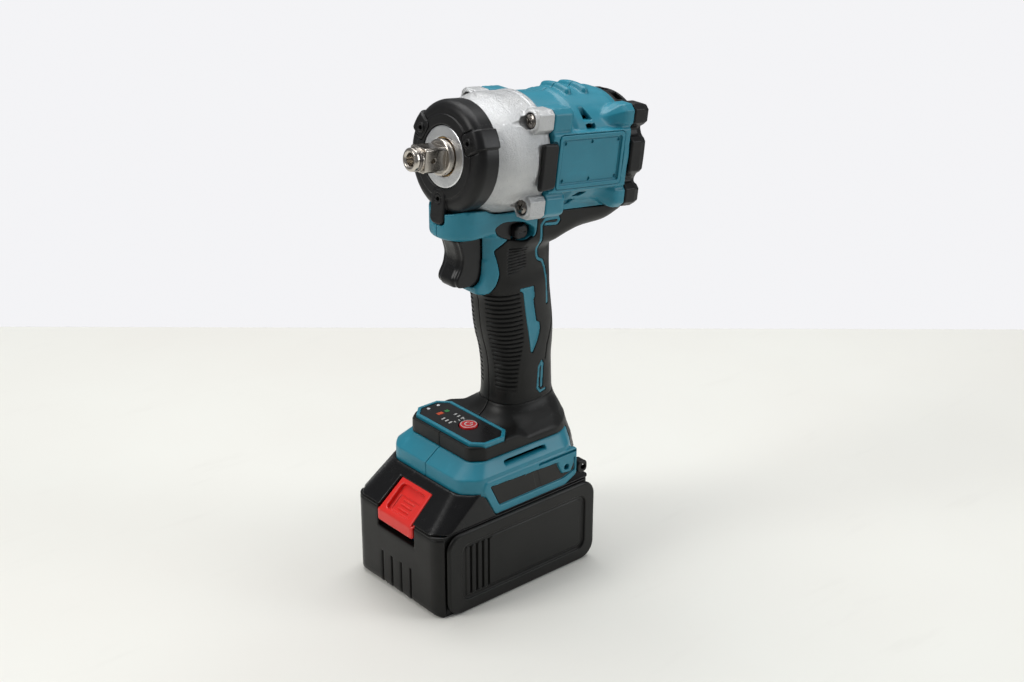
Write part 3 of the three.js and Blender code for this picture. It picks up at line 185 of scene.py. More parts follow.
def soft(points, radius, count=4):
    """An outline with its corners rounded."""
    made = []
    for i, p in enumerate(points):
        before, here, after = (np.array(q, float) for q in (points[i - 1], p, points[(i + 1) % len(points)]))
        a, b = before - here, after - here
        reach = min(radius, 0.45 * np.linalg.norm(a), 0.45 * np.linalg.norm(b))
        start, end = here + a / np.linalg.norm(a) * reach, here + b / np.linalg.norm(b) * reach
        for k in range(count + 1):
            u = k / count
            made.append(tuple((1 - u) ** 2 * start + 2 * u * (1 - u) * here + u * u * end))
    return made


def poly(a, b, points):
    """Signed distance to a closed outline in two coordinates."""
    a, b = np.broadcast_arrays(a, b)
    near, sign = np.full(a.shape, 1e9, np.float32), np.ones(a.shape, np.float32)
    for (ax, ay), (bx, by) in zip(points, points[1:] + points[:1]):
        ex, ey = bx - ax, by - ay
        wx, wy = a - ax, b - ay
        h = np.clip((wx * ex + wy * ey) / (ex * ex + ey * ey + 1e-12), 0, 1)
        near = np.minimum(near, (wx - ex * h) ** 2 + (wy - ey * h) ** 2)
        above, below, left = b >= ay, b < by, ex * wy > ey * wx
        sign = np.where((above & below & left) | ~(above | below | left), -sign, sign)
    return (sign * np.sqrt(near)).astype(np.float32)


def stroke(a, b, points, half, closed=False):
    """Distance to a line drawn through points, less half its width."""
    a, b = np.broadcast_arrays(a, b)
    near = np.full(a.shape, 1e9, np.float32)
    for (ax, ay), (bx, by) in zip(points, points[1:] + points[:1] if closed else points[1:]):
        ex, ey = bx - ax, by - ay
        h = np.clip(((a - ax) * ex + (b - ay) * ey) / (ex * ex + ey * ey + 1e-12), 0, 1)
        near = np.minimum(near, np.hypot(a - ax - ex * h, b - ay - ey * h))
    return (near - half).astype(np.float32)


def curve(v, stations, values):
    """A smooth value along a list of stations."""
    xs, ys = np.array(stations, float), np.array(values, float)
    slopes = np.gradient(ys, xs)
    i = np.clip(np.searchsorted(xs, v) - 1, 0, len(xs) - 2)
    h = xs[i + 1] - xs[i]
    u = np.clip((v - xs[i]) / h, 0, 1)
    bend = (u ** 3 - 2 * u ** 2 + u) * h * slopes[i] + (u ** 3 - u ** 2) * h * slopes[i + 1]
    rise = 3 * u ** 2 - 2 * u ** 3
    return ((1 - rise) * ys[i] + rise * ys[i + 1] + bend).astype(np.float32)


def steps(v, places, values):
    """A value that runs straight from place to place."""
    return np.interp(v, places, values).astype(np.float32)


def ramp(v, low, high):
    """0 below low, 1 above high, smooth between."""
    u = np.clip((v - low) / (high - low), 0, 1)
    return u * u * (3 - 2 * u)


# ---- meshes


def new_object(name, mesh, body, material, nodes=()):
    piece = bpy.data.objects.new(name, mesh)
    bpy.context.scene.collection.objects.link(piece)
    mesh.materials.append(material)
    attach(piece, body)
    if nodes:
        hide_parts(*nodes)


def mesh_of(name, points, quads, tris):
    """A smooth-shaded mesh from arrays, with its faces turned outwards."""
    points = np.ascontiguousarray(points, np.float32)
    quads, tris = quads.astype(np.int64).reshape(-1, 4), tris.astype(np.int64).reshape(-1, 3)
    fans = np.concatenate([quads[:, [0, 1, 2]], quads[:, [0, 2, 3]], tris])
    a, b, c = (points[fans[:, k]].astype(float) for k in range(3))
    if np.einsum("ij,ij->i", a, np.cross(b, c)).sum() < 0:
        quads, tris = quads[:, ::-1], tris[:, ::-1]
    mesh = bpy.data.meshes.new(name)
    mesh.vertices.add(len(points))
    mesh.vertices.foreach_set("co", points.ravel())
    index = np.concatenate([quads.ravel(), tris.ravel()]).astype(np.int32)
    mesh.loops.add(len(index))
    mesh.loops.foreach_set("vertex_index", index)
    quad_starts, tri_starts = np.arange(len(quads)) * 4, np.arange(len(tris)) * 3 + 4 * len(quads)
    starts = np.concatenate([quad_starts, tri_starts]).astype(np.int32)
    mesh.polygons.add(len(starts))
    mesh.polygons.foreach_set("loop_start", starts)
    mesh.update(calc_edges=True)
    mesh.polygons.foreach_set("use_smooth", np.ones(len(starts), bool))
    return mesh


def surface(field, adapt=0.0):
    """The zero surface of a field as points in metres, quads and triangles."""
    limit = 3 * field.step
    values = np.clip(field.d, -limit, limit)
    for axis in range(3):
        for end in (0, -1):
            edge = [slice(None)] * 3
            edge[axis] = end
            values[tuple(edge)] = limit
    grid = openvdb.FloatGrid(limit)
    grid.copyFromArray(values, tolerance=0.0)
    grid.gridClass = openvdb.GridClass.LEVEL_SET
    points, tris, quads = grid.convertToPolygons(isovalue=0.0, adaptivity=adapt)
    return (points * field.step + np.array(field.low, np.float32)) * MM, quads, tris


def cast(name, field, body, material, nodes=(), adapt=0.0):
    new_object(name, mesh_of(name, *surface(field, adapt)), body, material, nodes)


def cast_pair(name, field, body, material, nodes=(), adapt=0.0):
    """A left piece and its mirror image on the right."""
    points, quads, tris = surface(field, adapt)
    for side, sign in SIDES:
        label = f"{name}_{side}"
        mesh = mesh_of(label, points * np.array([sign, 1, 1], np.float32), quads, tris)
        new_object(label, mesh, body, material, [n for n in nodes if n.endswith(side)])


# ---- materials


class Shader:
    """A material's node tree, with short calls for what every finish here needs."""

    def __init__(self, name, color, roughness, metallic=0.0, coat=0.0, specular=0.5):
        self.material = bpy.data.materials.new(name)
        self.material.use_nodes = True
        self.nodes, self.links = self.material.node_tree.nodes, self.material.node_tree.links
        self.base = self.nodes["Principled BSDF"]
        self.base.inputs["Metallic"].default_value = metallic
        self.base.inputs["Coat Weight"].default_value = coat
        self.base.inputs["Coat Roughness"].default_value = 0.12
        self.base.inputs["Specular IOR Level"].default_value = specular
        self.place = self.nodes.new("ShaderNodeTexCoord").outputs["Object"]
        self.color, self.roughness, self.height = (*color, 1.0), roughness, None

    def noise(self, scale, detail=4.0, rough=0.55, stretch=None):
        node = self.nodes.new("ShaderNodeTexNoise")
        node.inputs["Scale"].default_value = scale
        node.inputs["Detail"].default_value = detail
        node.inputs["Roughness"].default_value = rough
        place = self.vector("MULTIPLY", self.place, stretch) if stretch else self.place
        self.links.new(place, node.inputs["Vector"])
        return node.outputs["Fac"]

    def vector(self, operation, a, b=(0, 0, 0)):
        """A sum on a vector and a constant; a dot product and a length give a number."""
        node = self.nodes.new("ShaderNodeVectorMath")
        node.operation = operation
        self.links.new(a, node.inputs[0])
        node.inputs[1].default_value = b
        return node.outputs["Value" if operation in ("DOT_PRODUCT", "LENGTH") else "Vector"]

    def math(self, operation, a, b=0.0, clamp=False):
        node = self.nodes.new("ShaderNodeMath")
        node.operation, node.use_clamp = operation, clamp
        for socket, value in zip(node.inputs, (a, b)):
            if isinstance(value, (int, float)):
                socket.default_value = value
            else:
                self.links.new(value, socket)
        return node.outputs[0]

    def fit(self, value, low, high, new_low=0.0, new_high=1.0):
        node = self.nodes.new("ShaderNodeMapRange")
        for socket, v in zip(list(node.inputs)[1:5], (low, high, new_low, new_high)):
            socket.default_value = v
        self.links.new(value, node.inputs[0])
        return node.outputs[0]

    def tint(self, factor, color, strength=1.0):
        """Mixes another colour in where the factor is high."""
        node = self.nodes.new("ShaderNodeMix")
        node.data_type = "RGBA"
        if strength != 1.0:
            factor = self.math("MULTIPLY", factor, strength)
        self.links.new(factor, node.inputs[0])
        if isinstance(self.color, tuple):
            node.inputs[6].default_value = self.color
        else:
            self.links.new(self.color, node.inputs[6])
        node.inputs[7].default_value = (*color, 1.0)
        self.color = node.outputs[2]
        return self

    def rougher(self, factor, amount):
        self.roughness = self.math("ADD", self.roughness, self.math("MULTIPLY", factor, amount))
        return self

    def bump(self, value, distance, strength=1.0):
        node = self.nodes.new("ShaderNodeBump")
        node.inputs["Strength"].default_value = strength
        node.inputs["Distance"].default_value = distance * MM
        self.links.new(value, node.inputs["Height"])
        if self.height is not None:
            self.links.new(self.height, node.inputs["Normal"])
        self.height = node.outputs["Normal"]
        return self

    def edges(self, low=0.53, high=0.6):
        """High on convex edges."""
        return self.fit(self.nodes.new("ShaderNodeNewGeometry").outputs["Pointiness"], low, high)

    def from_axis(self):
        """Distance from the drive axis, in metres."""
        move = self.vector("SUBTRACT", self.place, [v * MM for v in from_head(0, 0, 0)])
        return self.vector("LENGTH", self.vector("CROSS_PRODUCT", move, AXIS))

    def along(self, direction):
        return self.vector("DOT_PRODUCT", self.place, direction)

    def wave(self, value, period):
        """A smooth wave with that period in millimetres, from -1 to 1."""
        return self.math("SINE", self.math("MULTIPLY", value, 2 * math.pi / (period * MM)))

    def done(self):
        for value, socket in ((self.color, "Base Color"), (self.roughness, "Roughness")):
            if isinstance(value, (tuple, float)):
                self.base.inputs[socket].default_value = value
            else:
                self.links.new(value, self.base.inputs[socket])
        if self.height is not None:
            self.links.new(self.height, self.base.inputs["Normal"])
        return self.material


def moulded(name, color, roughness, grain=0.02, scale=1600, wear=None, variation=0.14, coat=0.0):
    """Injection-moulded plastic or rubber: spark-eroded grain, mottling, rubbed edges, light dust."""
    made = Shader(name, color, roughness, coat=coat, specular=0.5 if max(color) > 0.05 else 0.27)
    mottle = made.noise(45, 5)
    made.tint(made.fit(mottle, 0.35, 0.7), [c * (1 - variation) for c in color])
    scuffs = made.fit(made.noise(160, 6, 0.62, stretch=(1, 0.35, 1)), 0.56, 0.72)
    made.tint(scuffs, [min(1, c * 1.5 + 0.012) for c in color], 0.22)
    if wear:
        made.tint(made.edges(), wear[1], wear[0])
    made.rougher(made.fit(mottle, 0.3, 0.7, -0.5, 0.5), 0.10)
    made.rougher(scuffs, 0.10)
    made.bump(made.noise(scale, 3, 0.6), grain)
    return made


def metal(name, color, roughness, scratch=0.004, dark=0.25, stretch=(1, 6, 1)):
    """Machined or ground steel with fine marks and a little oil stain."""
    made = Shader(name, color, roughness, metallic=1.0)
    stain = made.noise(120, 5)
    made.tint(made.fit(stain, 0.4, 0.75), [c * (1 - dark) for c in color])
    made.tint(made.edges(0.52, 0.6), [min(1, c * 1.5) for c in color], 0.6)
    made.rougher(made.fit(stain, 0.3, 0.7, -0.5, 0.5), 0.14)
    marks = made.noise(2200, 4, 0.6, stretch=stretch)
    made.rougher(made.fit(marks, 0.35, 0.65, -0.5, 0.5), 0.12)
    made.bump(marks, scratch)
    return made


RUBBED = (0.05, 0.05, 0.05)   # black plastic where hands and benches have worn it

TEAL = moulded("teal_abs", (0.012, 0.205, 0.290), 0.38, 0.010, 1900, (0.30, (0.10, 0.38, 0.48)), 0.10).done()
GRIP = moulded("grip_tpe", (0.0065, 0.0065, 0.006), 0.42, 0.020, 1500, (0.25, RUBBED)).done()
BUMPER = moulded("bumper_rubber", (0.009, 0.009, 0.0095), 0.36, 0.03, 1100, (0.3, (0.06, 0.06, 0.06))).done()
BLACK = moulded("black_plastic", (0.006, 0.006, 0.0065), 0.36, 0.012, 1700, (0.25, RUBBED)).done()
TRIGGER = moulded("trigger_plastic", (0.010, 0.010, 0.0105), 0.30, 0.006, 1700, (0.2, RUBBED)).done()
PACK = moulded("pack_plastic", (0.0055, 0.0055, 0.005), 0.36, 0.022, 1300, (0.30, RUBBED)).done()
GLOSS = moulded("pack_shoulder", (0.007, 0.007, 0.0075), 0.24, 0.010, 900, (0.25, RUBBED)).done()
LABEL = moulded("label_film", (0.010, 0.0095, 0.0085), 0.36, 0.004, 2500).done()
RED = moulded("latch_red", (0.74, 0.018, 0.012), 0.36, 0.008, 1900, (0.5, (0.95, 0.16, 0.10)), 0.10).done()
BUTTON = moulded(
    "button_red", (0.55, 0.012, 0.016), 0.30, 0.005, 1900, (0.3, (0.8, 0.1, 0.08)), 0.10, coat=0.3,
).done()
PANEL = moulded("panel_film", (0.010, 0.010, 0.0105), 0.30, 0.006, 2400, coat=0.2).done()
PRINT = moulded("print_white", (0.55, 0.55, 0.54), 0.5, 0.004, 2400, variation=0.3).done()
ORANGE = moulded("lamp_orange", (0.55, 0.07, 0.02), 0.35, 0.004, 2400).done()
GREEN = moulded("lamp_green", (0.03, 0.22, 0.06), 0.35, 0.004, 2400).done()
LENS = moulded("lamp_white", (0.75, 0.76, 0.78), 0.2, 0.003, 2400, coat=0.5).done()
DRIVE = metal("drive_steel", (0.56, 0.52, 0.47), 0.22).done()
SCREW = metal("screw_steel", (0.24, 0.22, 0.20), 0.24, 0.003).done()
STEEL = metal("gear_steel", (0.52, 0.51, 0.49), 0.30).done()
BRONZE = metal("bronze", (0.55, 0.36, 0.16), 0.36).done()


def cast_alloy():
    """Sand-cast alloy: a fine open grain over soft waves, brighter where it has been rubbed."""
    made = Shader("cast_alloy", (0.60, 0.605, 0.605), 0.40, metallic=0.70)
    made.tint(made.fit(made.noise(70, 5), 0.35, 0.7), (0.50, 0.51, 0.52))
    pits = made.fit(made.noise(1500, 3, 0.7), 0.60, 0.75)
    made.tint(pits, (0.30, 0.31, 0.32), 0.7)
    made.tint(made.edges(0.51, 0.6), (0.86, 0.87, 0.88), 0.7)
    made.rougher(made.fit(made.noise(300, 4), 0.3, 0.7, -0.5, 0.5), 0.16)
    made.bump(made.noise(900, 5, 0.7), 0.55, 1.0)
    made.bump(made.noise(180, 3, 0.5), 0.16, 0.5)
    return made.done()


def turned_face():
    """A bright face cut on a lathe, with fine rings round the drive axis."""
    made = Shader("turned_face", (0.80, 0.81, 0.82), 0.24, metallic=1.0)
    rings = made.wave(made.from_axis(), 0.55)
    made.tint(made.fit(made.noise(140, 4), 0.4, 0.7), (0.66, 0.67, 0.69))
    made.rougher(made.fit(rings, -1, 1), 0.08)
    made.bump(rings, 0.010)
    made.bump(made.noise(1800, 3), 0.006)
    return made.done()


def laminations():
    """A stack of thin steel sheets."""
    made = metal("laminated_steel", (0.30, 0.29, 0.28), 0.42)
    lines = made.wave(made.along(AXIS), 0.7)
    made.tint(made.fit(lines, -1, 0.2, 1, 0), (0.10, 0.095, 0.09), 0.8)
    return made.bump(lines, 0.06).done()


def copper():
    """Enamelled wire wound side by side."""
    made = metal("copper_wire", (0.72, 0.30, 0.13), 0.30)
    turns = made.wave(made.from_axis(), 0.9)
    made.tint(made.fit(turns, -1, 0, 1, 0), (0.30, 0.10, 0.04), 0.8)
    return made.bump(turns, 0.16).done()


def board():
    """Solder mask over copper tracks."""
    made = moulded("board_green", (0.02, 0.17, 0.06), 0.32, 0.004, 2400)
    across, along = made.wave(made.along((1, 0, 0)), 2.4), made.wave(made.along((0, 1, 0)), 3.1)
    tracks = made.fit(made.math("MULTIPLY", across, along), 0.25, 0.4)
    made.tint(tracks, (0.05, 0.30, 0.10), 0.7)
    return made.bump(tracks, 0.03).done()


def cell_wrap():
    """Shrink wrap on the cells, with darker stretched ripples."""
    made = moulded("cell_wrap", (0.03, 0.22, 0.42), 0.26, 0.006, 1500, coat=0.4)
    ripple = made.noise(260, 3, 0.5, stretch=(0.2, 1, 1))
    made.tint(made.fit(ripple, 0.45, 0.7), (0.02, 0.13, 0.30))
    return made.bump(ripple, 0.08).done()


CAST, TURNED, LAMINATED, COPPER, BOARD, CELL = (
    cast_alloy(), turned_face(), laminations(), copper(), board(), cell_wrap(),
)

INSIDE = (
    (BRONZE, ["front_bush"]),
    (STEEL, [
        "hammer", "spindle_carrier", "hammer_spring", "ring_gear", "planet_gear_1", "planet_gear_2",
        "planet_gear_3", "rotor_shaft", "bearing_front", "bearing_rear", "trigger_spring",
    ]),
    (LAMINATED, ["rotor_core", "stator_core"]),
    (COPPER, ["winding_front", "winding_rear"]),
    (BLACK, ["gear_plate", "cooling_fan", "switch_body", "terminal_block"]),
    (BOARD, ["control_board"]),
    (CELL, ["cell_row_lower", "cell_row_upper"]),
)


def finish_node(kept, finish):
    """Gives a CAD piece its material and slightly rounded edges."""
    kept.data.materials.clear()
    kept.data.materials.append(finish)
    rounding = kept.modifiers.new("edges", "BEVEL")
    rounding.width, rounding.segments, rounding.limit_method = 0.15 * MM, 2, "ANGLE"
    rounding.angle_limit, rounding.use_clamp_overlap = math.radians(40), True


for finish, names in INSIDE:
    for node in names:
        finish_node(frame["nodes"][node], finish)

# ---- teal shell and black grip

GRIP_HALF, SKIN, WALL = 16.6, 2.3, 2.4
STATIONS = (84, 89, 93.5, 98, 105, 112, 120, 127.4, 135, 143, 152, 161, 166.5, 172, 180, 206)
CENTRES = (29, 29, 29, 29, 29, 28.8, 28.4, 28.1, 27.2, 26.2, 25.2, 24.0, 22.5, 21, 21, 21)
DEPTHS = (25.2, 23.4, 21.4, 20.0, 19.5, 19.4, 19.6, 20.6, 21.8, 22.5, 22.4, 22.5, 24.1, 26, 26, 25.6)
WIDTHS = (1.42, 1.24, 1.08, 1.0, 0.98, 0.98, 0.99, 1.0, 1.01, 1.0, 1.0, 1.01, 1.0, 0.95, 0.95, 1.0)


def handle(f, inset=0.0):
    """A lofted superellipse that follows the handle's stations."""
    power = 2.5
    wide = curve(f.z, STATIONS, WIDTHS) * GRIP_HALF - inset
    deep = curve(f.z, STATIONS, DEPTHS) - inset
    u, v = np.abs(f.x) / wide, np.abs(f.y - curve(f.z, STATIONS, CENTRES)) / deep
    up, vp = u ** (power - 1), v ** (power - 1)
    size = (up * u + vp * v) ** (1 / power)
    made = (size - 1) * size ** (power - 1) / np.sqrt((up / wide) ** 2 + (vp / deep) ** 2 + 1e-9)
    return both(np.clip(made, -25, 25), slab(f.z, 76 + inset, 208))


# Side outlines of the saddle under the barrel and of the guard behind the trigger's lower corner.
KEEL = soft([
    (14, 187), (40, 186.4), (47, 188.4), (58, 190.6), (77, 190.2), (89.5, 194.4), (91, 200), (89, 216),
    (14, 222),
], 5)
CHEEK = soft([
    (-7.5, 166.6), (-8.2, 170.6), (-4.6, 173.0), (-2.6, 177.5), (-2.2, 184), (6, 186), (6, 164.6),
    (-2, 164.6),
], 1.2)
CHIN_HALF, CHIN_FRONT, CHIN_LOW = 16.0, -25.1, 199.0


def body(f, inset=0.0):
    """Everything below the barrel: handle, saddle and chin."""
    keel = meet(poly(f.y, f.z, KEEL) + inset, np.abs(f.x) - 20.4 + inset, 7)
    made = union(handle(f, inset), keel, 3.5)
    chin = rect(f.x, f.y, (-CHIN_HALF + inset, CHIN_FRONT + inset), (CHIN_HALF - inset, 32), 15.4)
    made = union(made, meet(chin, slab(f.z, CHIN_LOW + inset, 226), 2.5), 4)
    if inset:
        return made
    cheek = meet(poly(f.y, f.z, CHEEK), np.abs(f.x) - 10.6, 2.0)
    return union(made, cheek, 1.5)


ZONE = [
    (0.8, 163.6), (3.5, 168), (5.8, 176), (4.2, 184), (2.6, 189.2), (10.6, 194.6), (18.4, 193.0),
    (24.6, 194.8), (25.6, 198), (26.4, 205.8), (43, 204.4), (81, 199.6), (120, 196), (120, 62), (43.5, 62),
    (43.5, 80.2), (-60, 80.2), (-60, 120), (-12, 163.6),
]


def black_zone(f):
    """Side outline of what the black overmould covers."""
    return poly(f.y, f.z, soft(ZONE, 1.6))


# The foot's half widths at its wall and at its top, and its outline from the side.
FOOT_HALF, TOP_HALF = 35.3, 29.6
FOOT = [
    (-35.2, 62.4), (-35.2, 73.6), (-25.6, 80.2), (-25.5, 88.5), (2, 88.5), (36, 90.8), (41.6, 88.2),
    (46.4, 82), (50.6, 74.6), (53.4, 67.4), (54, 62.4),
]


def foot(f, inset=0.0):
    """The foot's outside, from the battery's top up to the handle."""
    side = poly(f.y, f.z, FOOT) + inset
    x = np.abs(f.x)
    wide = steps(f.z, [73.6, 80.2], [FOOT_HALF, TOP_HALF])
    shoulder = (x - TOP_HALF) * 0.55 + (f.z - 88.4) * 0.83 + 3.4 * ramp(f.y, 3, 14)
    made = meet(side, x - wide + inset, 0.8)
    made = meet(made, shoulder + inset, 1.5)
    front = (x - f.y) * DIAGONAL - steps(f.z, [62, 73.6, 80.2], [43.9, 43.9, 35.6])
    made = meet(made, front + inset, 2.5)
    block = x * 0.823 - f.y * 0.567 - 34.6 - 60 * ramp(-f.z, -80.2, -80.0)
    made = meet(made, block + inset, 0.8)
    rear = (x + f.y - 54) * DIAGONAL - steps(f.z, [62, 74, 88], [15.5, 12.5, 5.0])
    return meet(made, rear + inset, 3)


def skin(f, inset=0.0):
    """The whole body below the barrel, with the handle flared into the foot."""
    return union(body(f, inset), foot(f, inset), 8)


def case_room(f):
    """Room for the hammer case, its bosses and the bumper."""
    reach = steps(f.s, [-19.6, -7.3, -2.5, 2.5, 7], [29.2, 29.2, 30.0, 31.8, 32.35])
    behind = f.s - FLANGE - 0.3
    room = either(both(f.r - reach, behind), both(f.s - 6, -(f.t + 26.0)))
    for z in (SCREW_TOP, SCREW_LOW):
        boss = rect(f.x, f.t, (SCREW_X - 6.2, z - 6.2), (SCREW_X + 6.2, z + 6.2), 2.5)
        room = either(room, both(boss, behind))
    tab = both(rect(f.x, f.t, (-5.6, -35.1), (5.6, 0), 3), f.s + 18.0)
    return either(room, tab)


def barrel(f):
    """Round motor barrel with flat sides, screw blocks, gussets and two louvre humps."""
    reach = steps(f.s, [24, 43, 45.5, 76, 79, 82], [31, 31, 32.2, 32.2, 31.2, 31.0])
    around, ends = f.r, slab(f.s, FLANGE + 0.35, BARREL_END)
    made = meet(around - reach, ends, 0.8)
    x = np.abs(f.x)
    flat = rect(x, f.t, (-FLAT_X, -15.6), (FLAT_X, 15.6), 1.2)
    flat = meet(flat, slab(f.s, FLANGE + 0.35, BARREL_END - 1.2), 0.8)
    made = union(made, flat, 1.0)
    for z in (SCREW_TOP, SCREW_LOW):
        u, v = np.abs(x - 24.3), np.abs(f.t - z * 0.985)
        block = eight_sided(u, v, 6.6, 7.4)
        slope = (f.s - 39.5) * 0.8 + (both(u, v) - 4) * 0.5
        made = union(made, meet(meet(block, slope, 1.5), ends, 0.8), 2.2)
    for z in (CAP_SCREW, -CAP_SCREW):
        grow = steps(f.s, [60, 74, 82], [0.2, 6.4, 6.6])
        shift = steps(f.s, [60, 76], [0.86, 1.0])
        u, v = np.abs(x - SCREW_X * shift), np.abs(f.t - z * shift)
        lobe = eight_sided(u, v, grow, grow * 1.08)
        made = union(made, meet(lobe * 0.93, slab(f.s, 59, BARREL_END), 0.8), 2.0)
    angle = np.arctan2(f.x, f.t)
    for s in (52.0, 64.0):
        arc = both(np.abs(angle * 32.5) - 8.5, 0)
        hump = np.sqrt(arc ** 2 + (f.s - s) ** 2 + ((around - 32.0) * 0.9) ** 2) - 2.6
        made = union(made, hump, 1.0)
    return made


def pad_seat(f):
    """The shallow seat of a side pad, cut from the shell and the hammer case alike."""
    return both(rect(f.s, f.t, (16.6, -14.0), (28.5, 11.7), 2.4), 30.2 - np.abs(f.x))


PLATE_LOW, PLATE_HIGH = (29.2, -13.8), (75.6, 14.6)


def barrel_cuts(f):
    """The label's recess, the vents and the pad's seat."""
    x = np.abs(f.x)
    made = both(rect(f.s, f.t, PLATE_LOW, PLATE_HIGH, 2.4), 29.6 - x)
    vents = [
        ([(50.4, 19.8), (50.4, 26.6), (53.0, 26.6), (56.6, 19.8)], 16),
        ([(51.0, 15.7), (51.0, 18.2), (57.4, 18.2), (57.4, 15.7)], 21),
        ([(48.0, -20.2), (51.0, -17.8), (57.0, -17.8), (53.6, -20.2)], 20),
        ([(44.6, -25.4), (48, -22.4), (52.4, -22.4), (50, -25.4)], 14),
    ]
    for outline, depth in vents:
        made = either(made, both(poly(f.s, f.t, soft(outline, 0.6)), depth - x))
    return either(made, pad_seat(f))


# The decorative lines where the teal shell shows through the grip.
UPPER_LINE = [
    (31.6, 199.2), (39.4, 198.0), (41.0, 199.6), (40.4, 201.2), (31.4, 201.8), (28.8, 199.4), (28.8, 192.0),
    (29.8, 181.0), (31.0, 178.6), (34.6, 176.6), (36.8, 172.0), (37.8, 164.0), (38.0, 152.0),
]
PLATE = [
    (17.6, 165.2), (27.0, 164.6), (27.6, 158.6), (26.8, 157), (29.3, 143.6), (31.4, 142.6), (31.9, 138.8),
    (29.6, 132.2), (26.6, 125.8), (25.4, 126.4), (19.6, 162.6), (17.6, 163.6),
]
REAR_LOOP = [(33.6, 118.6), (31.6, 116), (30.6, 103.4), (32.6, 100.8), (36.4, 101.2)]


def inlays(f):
    lines = stroke(f.y, f.z, UPPER_LINE, 0.8)
    lines = either(lines, stroke(f.y, f.z, REAR_LOOP, 0.75))
    lines = either(lines, stroke(f.y, f.z, [(34.2, 117), (33.4, 104)], 0.9))
    lines = either(lines, poly(f.y, f.z, soft(PLATE, 0.5)))
    return both(lines, 4.0 - np.abs(f.x))


def trigger_room(f):
    half = TRIGGER_HALF + 0.4
    room = rect(f.x, f.z, (-half, TRIGGER_LOW - 0.4), (half, TRIGGER_TOP + 0.5), 2.2)
    return both(room, f.y - 4.2)


LEVER_POCKET = [
    (0.2, 202.6), (6, 205.2), (18, 203.6), (24.2, 199.2), (23.6, 195.0), (17.6, 192.6), (9.5, 194.4),
    (3.0, 198.2),
]


def lever_room(f):
    """The leaf-shaped pocket that the direction lever's knob stands in."""
    return both(poly(f.y, f.z, soft(LEVER_POCKET, 2.5)), 13.2 - np.abs(f.x))


def panel_outline(f):
    """The panel's plan: a rectangle with chamfered corners."""
    u, v = np.abs(f.x), np.abs(f.y - (PANEL_FRONT + PANEL_BACK) / 2)
    deep = (PANEL_BACK - PANEL_FRONT) / 2
    return both(both(u - PANEL_HALF, v - deep), (u + v - PANEL_HALF - deep + 6) * DIAGONAL)


def panel_room(f):
    return both(panel_outline(f) - 0.25, 85.6 - f.z)


def foot_details(f):
    """Slots in the sloping shoulder, the label recess and the strap hole."""
    x = np.abs(f.x)
    made = both(rect(f.y, f.z, (-6.9, 75.5), (22.3, 77.5), 0.8), 27.5 - x)
    made = either(made, both(rect(f.y, f.z, (14.7, 68.7), (42, 70.1), 0.5), 33.6 - x))
    return either(made, both(rod(f.y, f.z, (35.0, 61.2), 1.75), 32.9 - x))


LABEL_SHAPE = [(-19.6, 68.0), (-13.1, 54.5), (32.4, 54.8), (41.3, 57.4), (41.3, 65.6)]
LABEL_TAB = [(28.7, 72.0), (28.7, 64.4), (31.8, 58.4), (37.8, 57.6), (40.2, 62.4), (40.2, 72.0)]
SKIRT = [(-24.2, 66.5), (-16.2, 50.2), (34.0, 50.5), (42.4, 54.8), (42.6, 71), (-22.6, 71)]


def make_shell():
    f = Field((-0.6, -37, 49), (37.5, 92.5, 274), 0.45)
    core = f.part((-0.6, -31, 74), (32, 92.5, 226))
    outside, black = skin(core), black_zone(core)
    core.add(meet(outside, -black + 0.14, 0.35))
    core.add(outside + SKIN + 0.15)
    show = inlays(core)
    core.add(both(outside + 0.12 + 0.35 * ramp(-show, 0.3, 0.9), show))
    low = f.part((-0.6, -37, 49), (37.5, 56, 82))
    band = meet(foot(low), -black_zone(low) + 0.14, 0.4)
    low.add(band)
    low.add(foot(low) + SKIN + 0.15)
    skirt = meet(poly(low.y, low.z, soft(SKIRT, 1.5)), slab(low.x, 32.9, 36), 0.6)
    low.add(skirt, 0.8)
    top = f.head((-0.6, 24, -33), (37.5, 82, 37))
    top.add(barrel(top), 1.5)
    # hollow inside
    deep = SKIN + WALL
    under = np.hypot(core.x, core.t) - 34.8
    core.cut(both(body(core, deep + 0.4), -np.where(core.s < 27, under, 9.0)))
    low.cut(both(foot(low, deep), low.z - 84))
    low.cut(both(np.abs(low.x) - 33.0, low.z - 62.6))
    bore = f.head((-0.6, 20, -30), (37.5, 84, 30))
    bore.cut(bore.r - 28.4)
    # openings
    nose = f.head((-0.6, -60, -40), (37.5, 26, 36))
    nose.cut(case_room(nose), 0.3)
    cuts = f.head((20, 15, -30), (37.5, 83, 30))
    cuts.cut(barrel_cuts(cuts), 0.25)
    grip = f.part((-0.6, -37, 160), (30, 40, 210))
    grip.cut(trigger_room(grip), 0.5)
    grip.cut(lever_room(grip), 0.5)
    panel = f.part((-0.6, -37, 80), (37.5, 10, 95))
    panel.cut(panel_room(panel), 0.2)
    low.cut(foot_details(low), 0.3)
    recess = both(poly(low.y, low.z, soft(LABEL_SHAPE, 1.0)), -poly(low.y, low.z, soft(LABEL_TAB, 0.8)))
    low.cut(both(recess, 34.9 - low.x), 0.2)
    f.keep(0.12 - f.x, 0.3)
    cast_pair("shell", f, "tool", TEAL, ("housing_left", "housing_right"), 0.02)


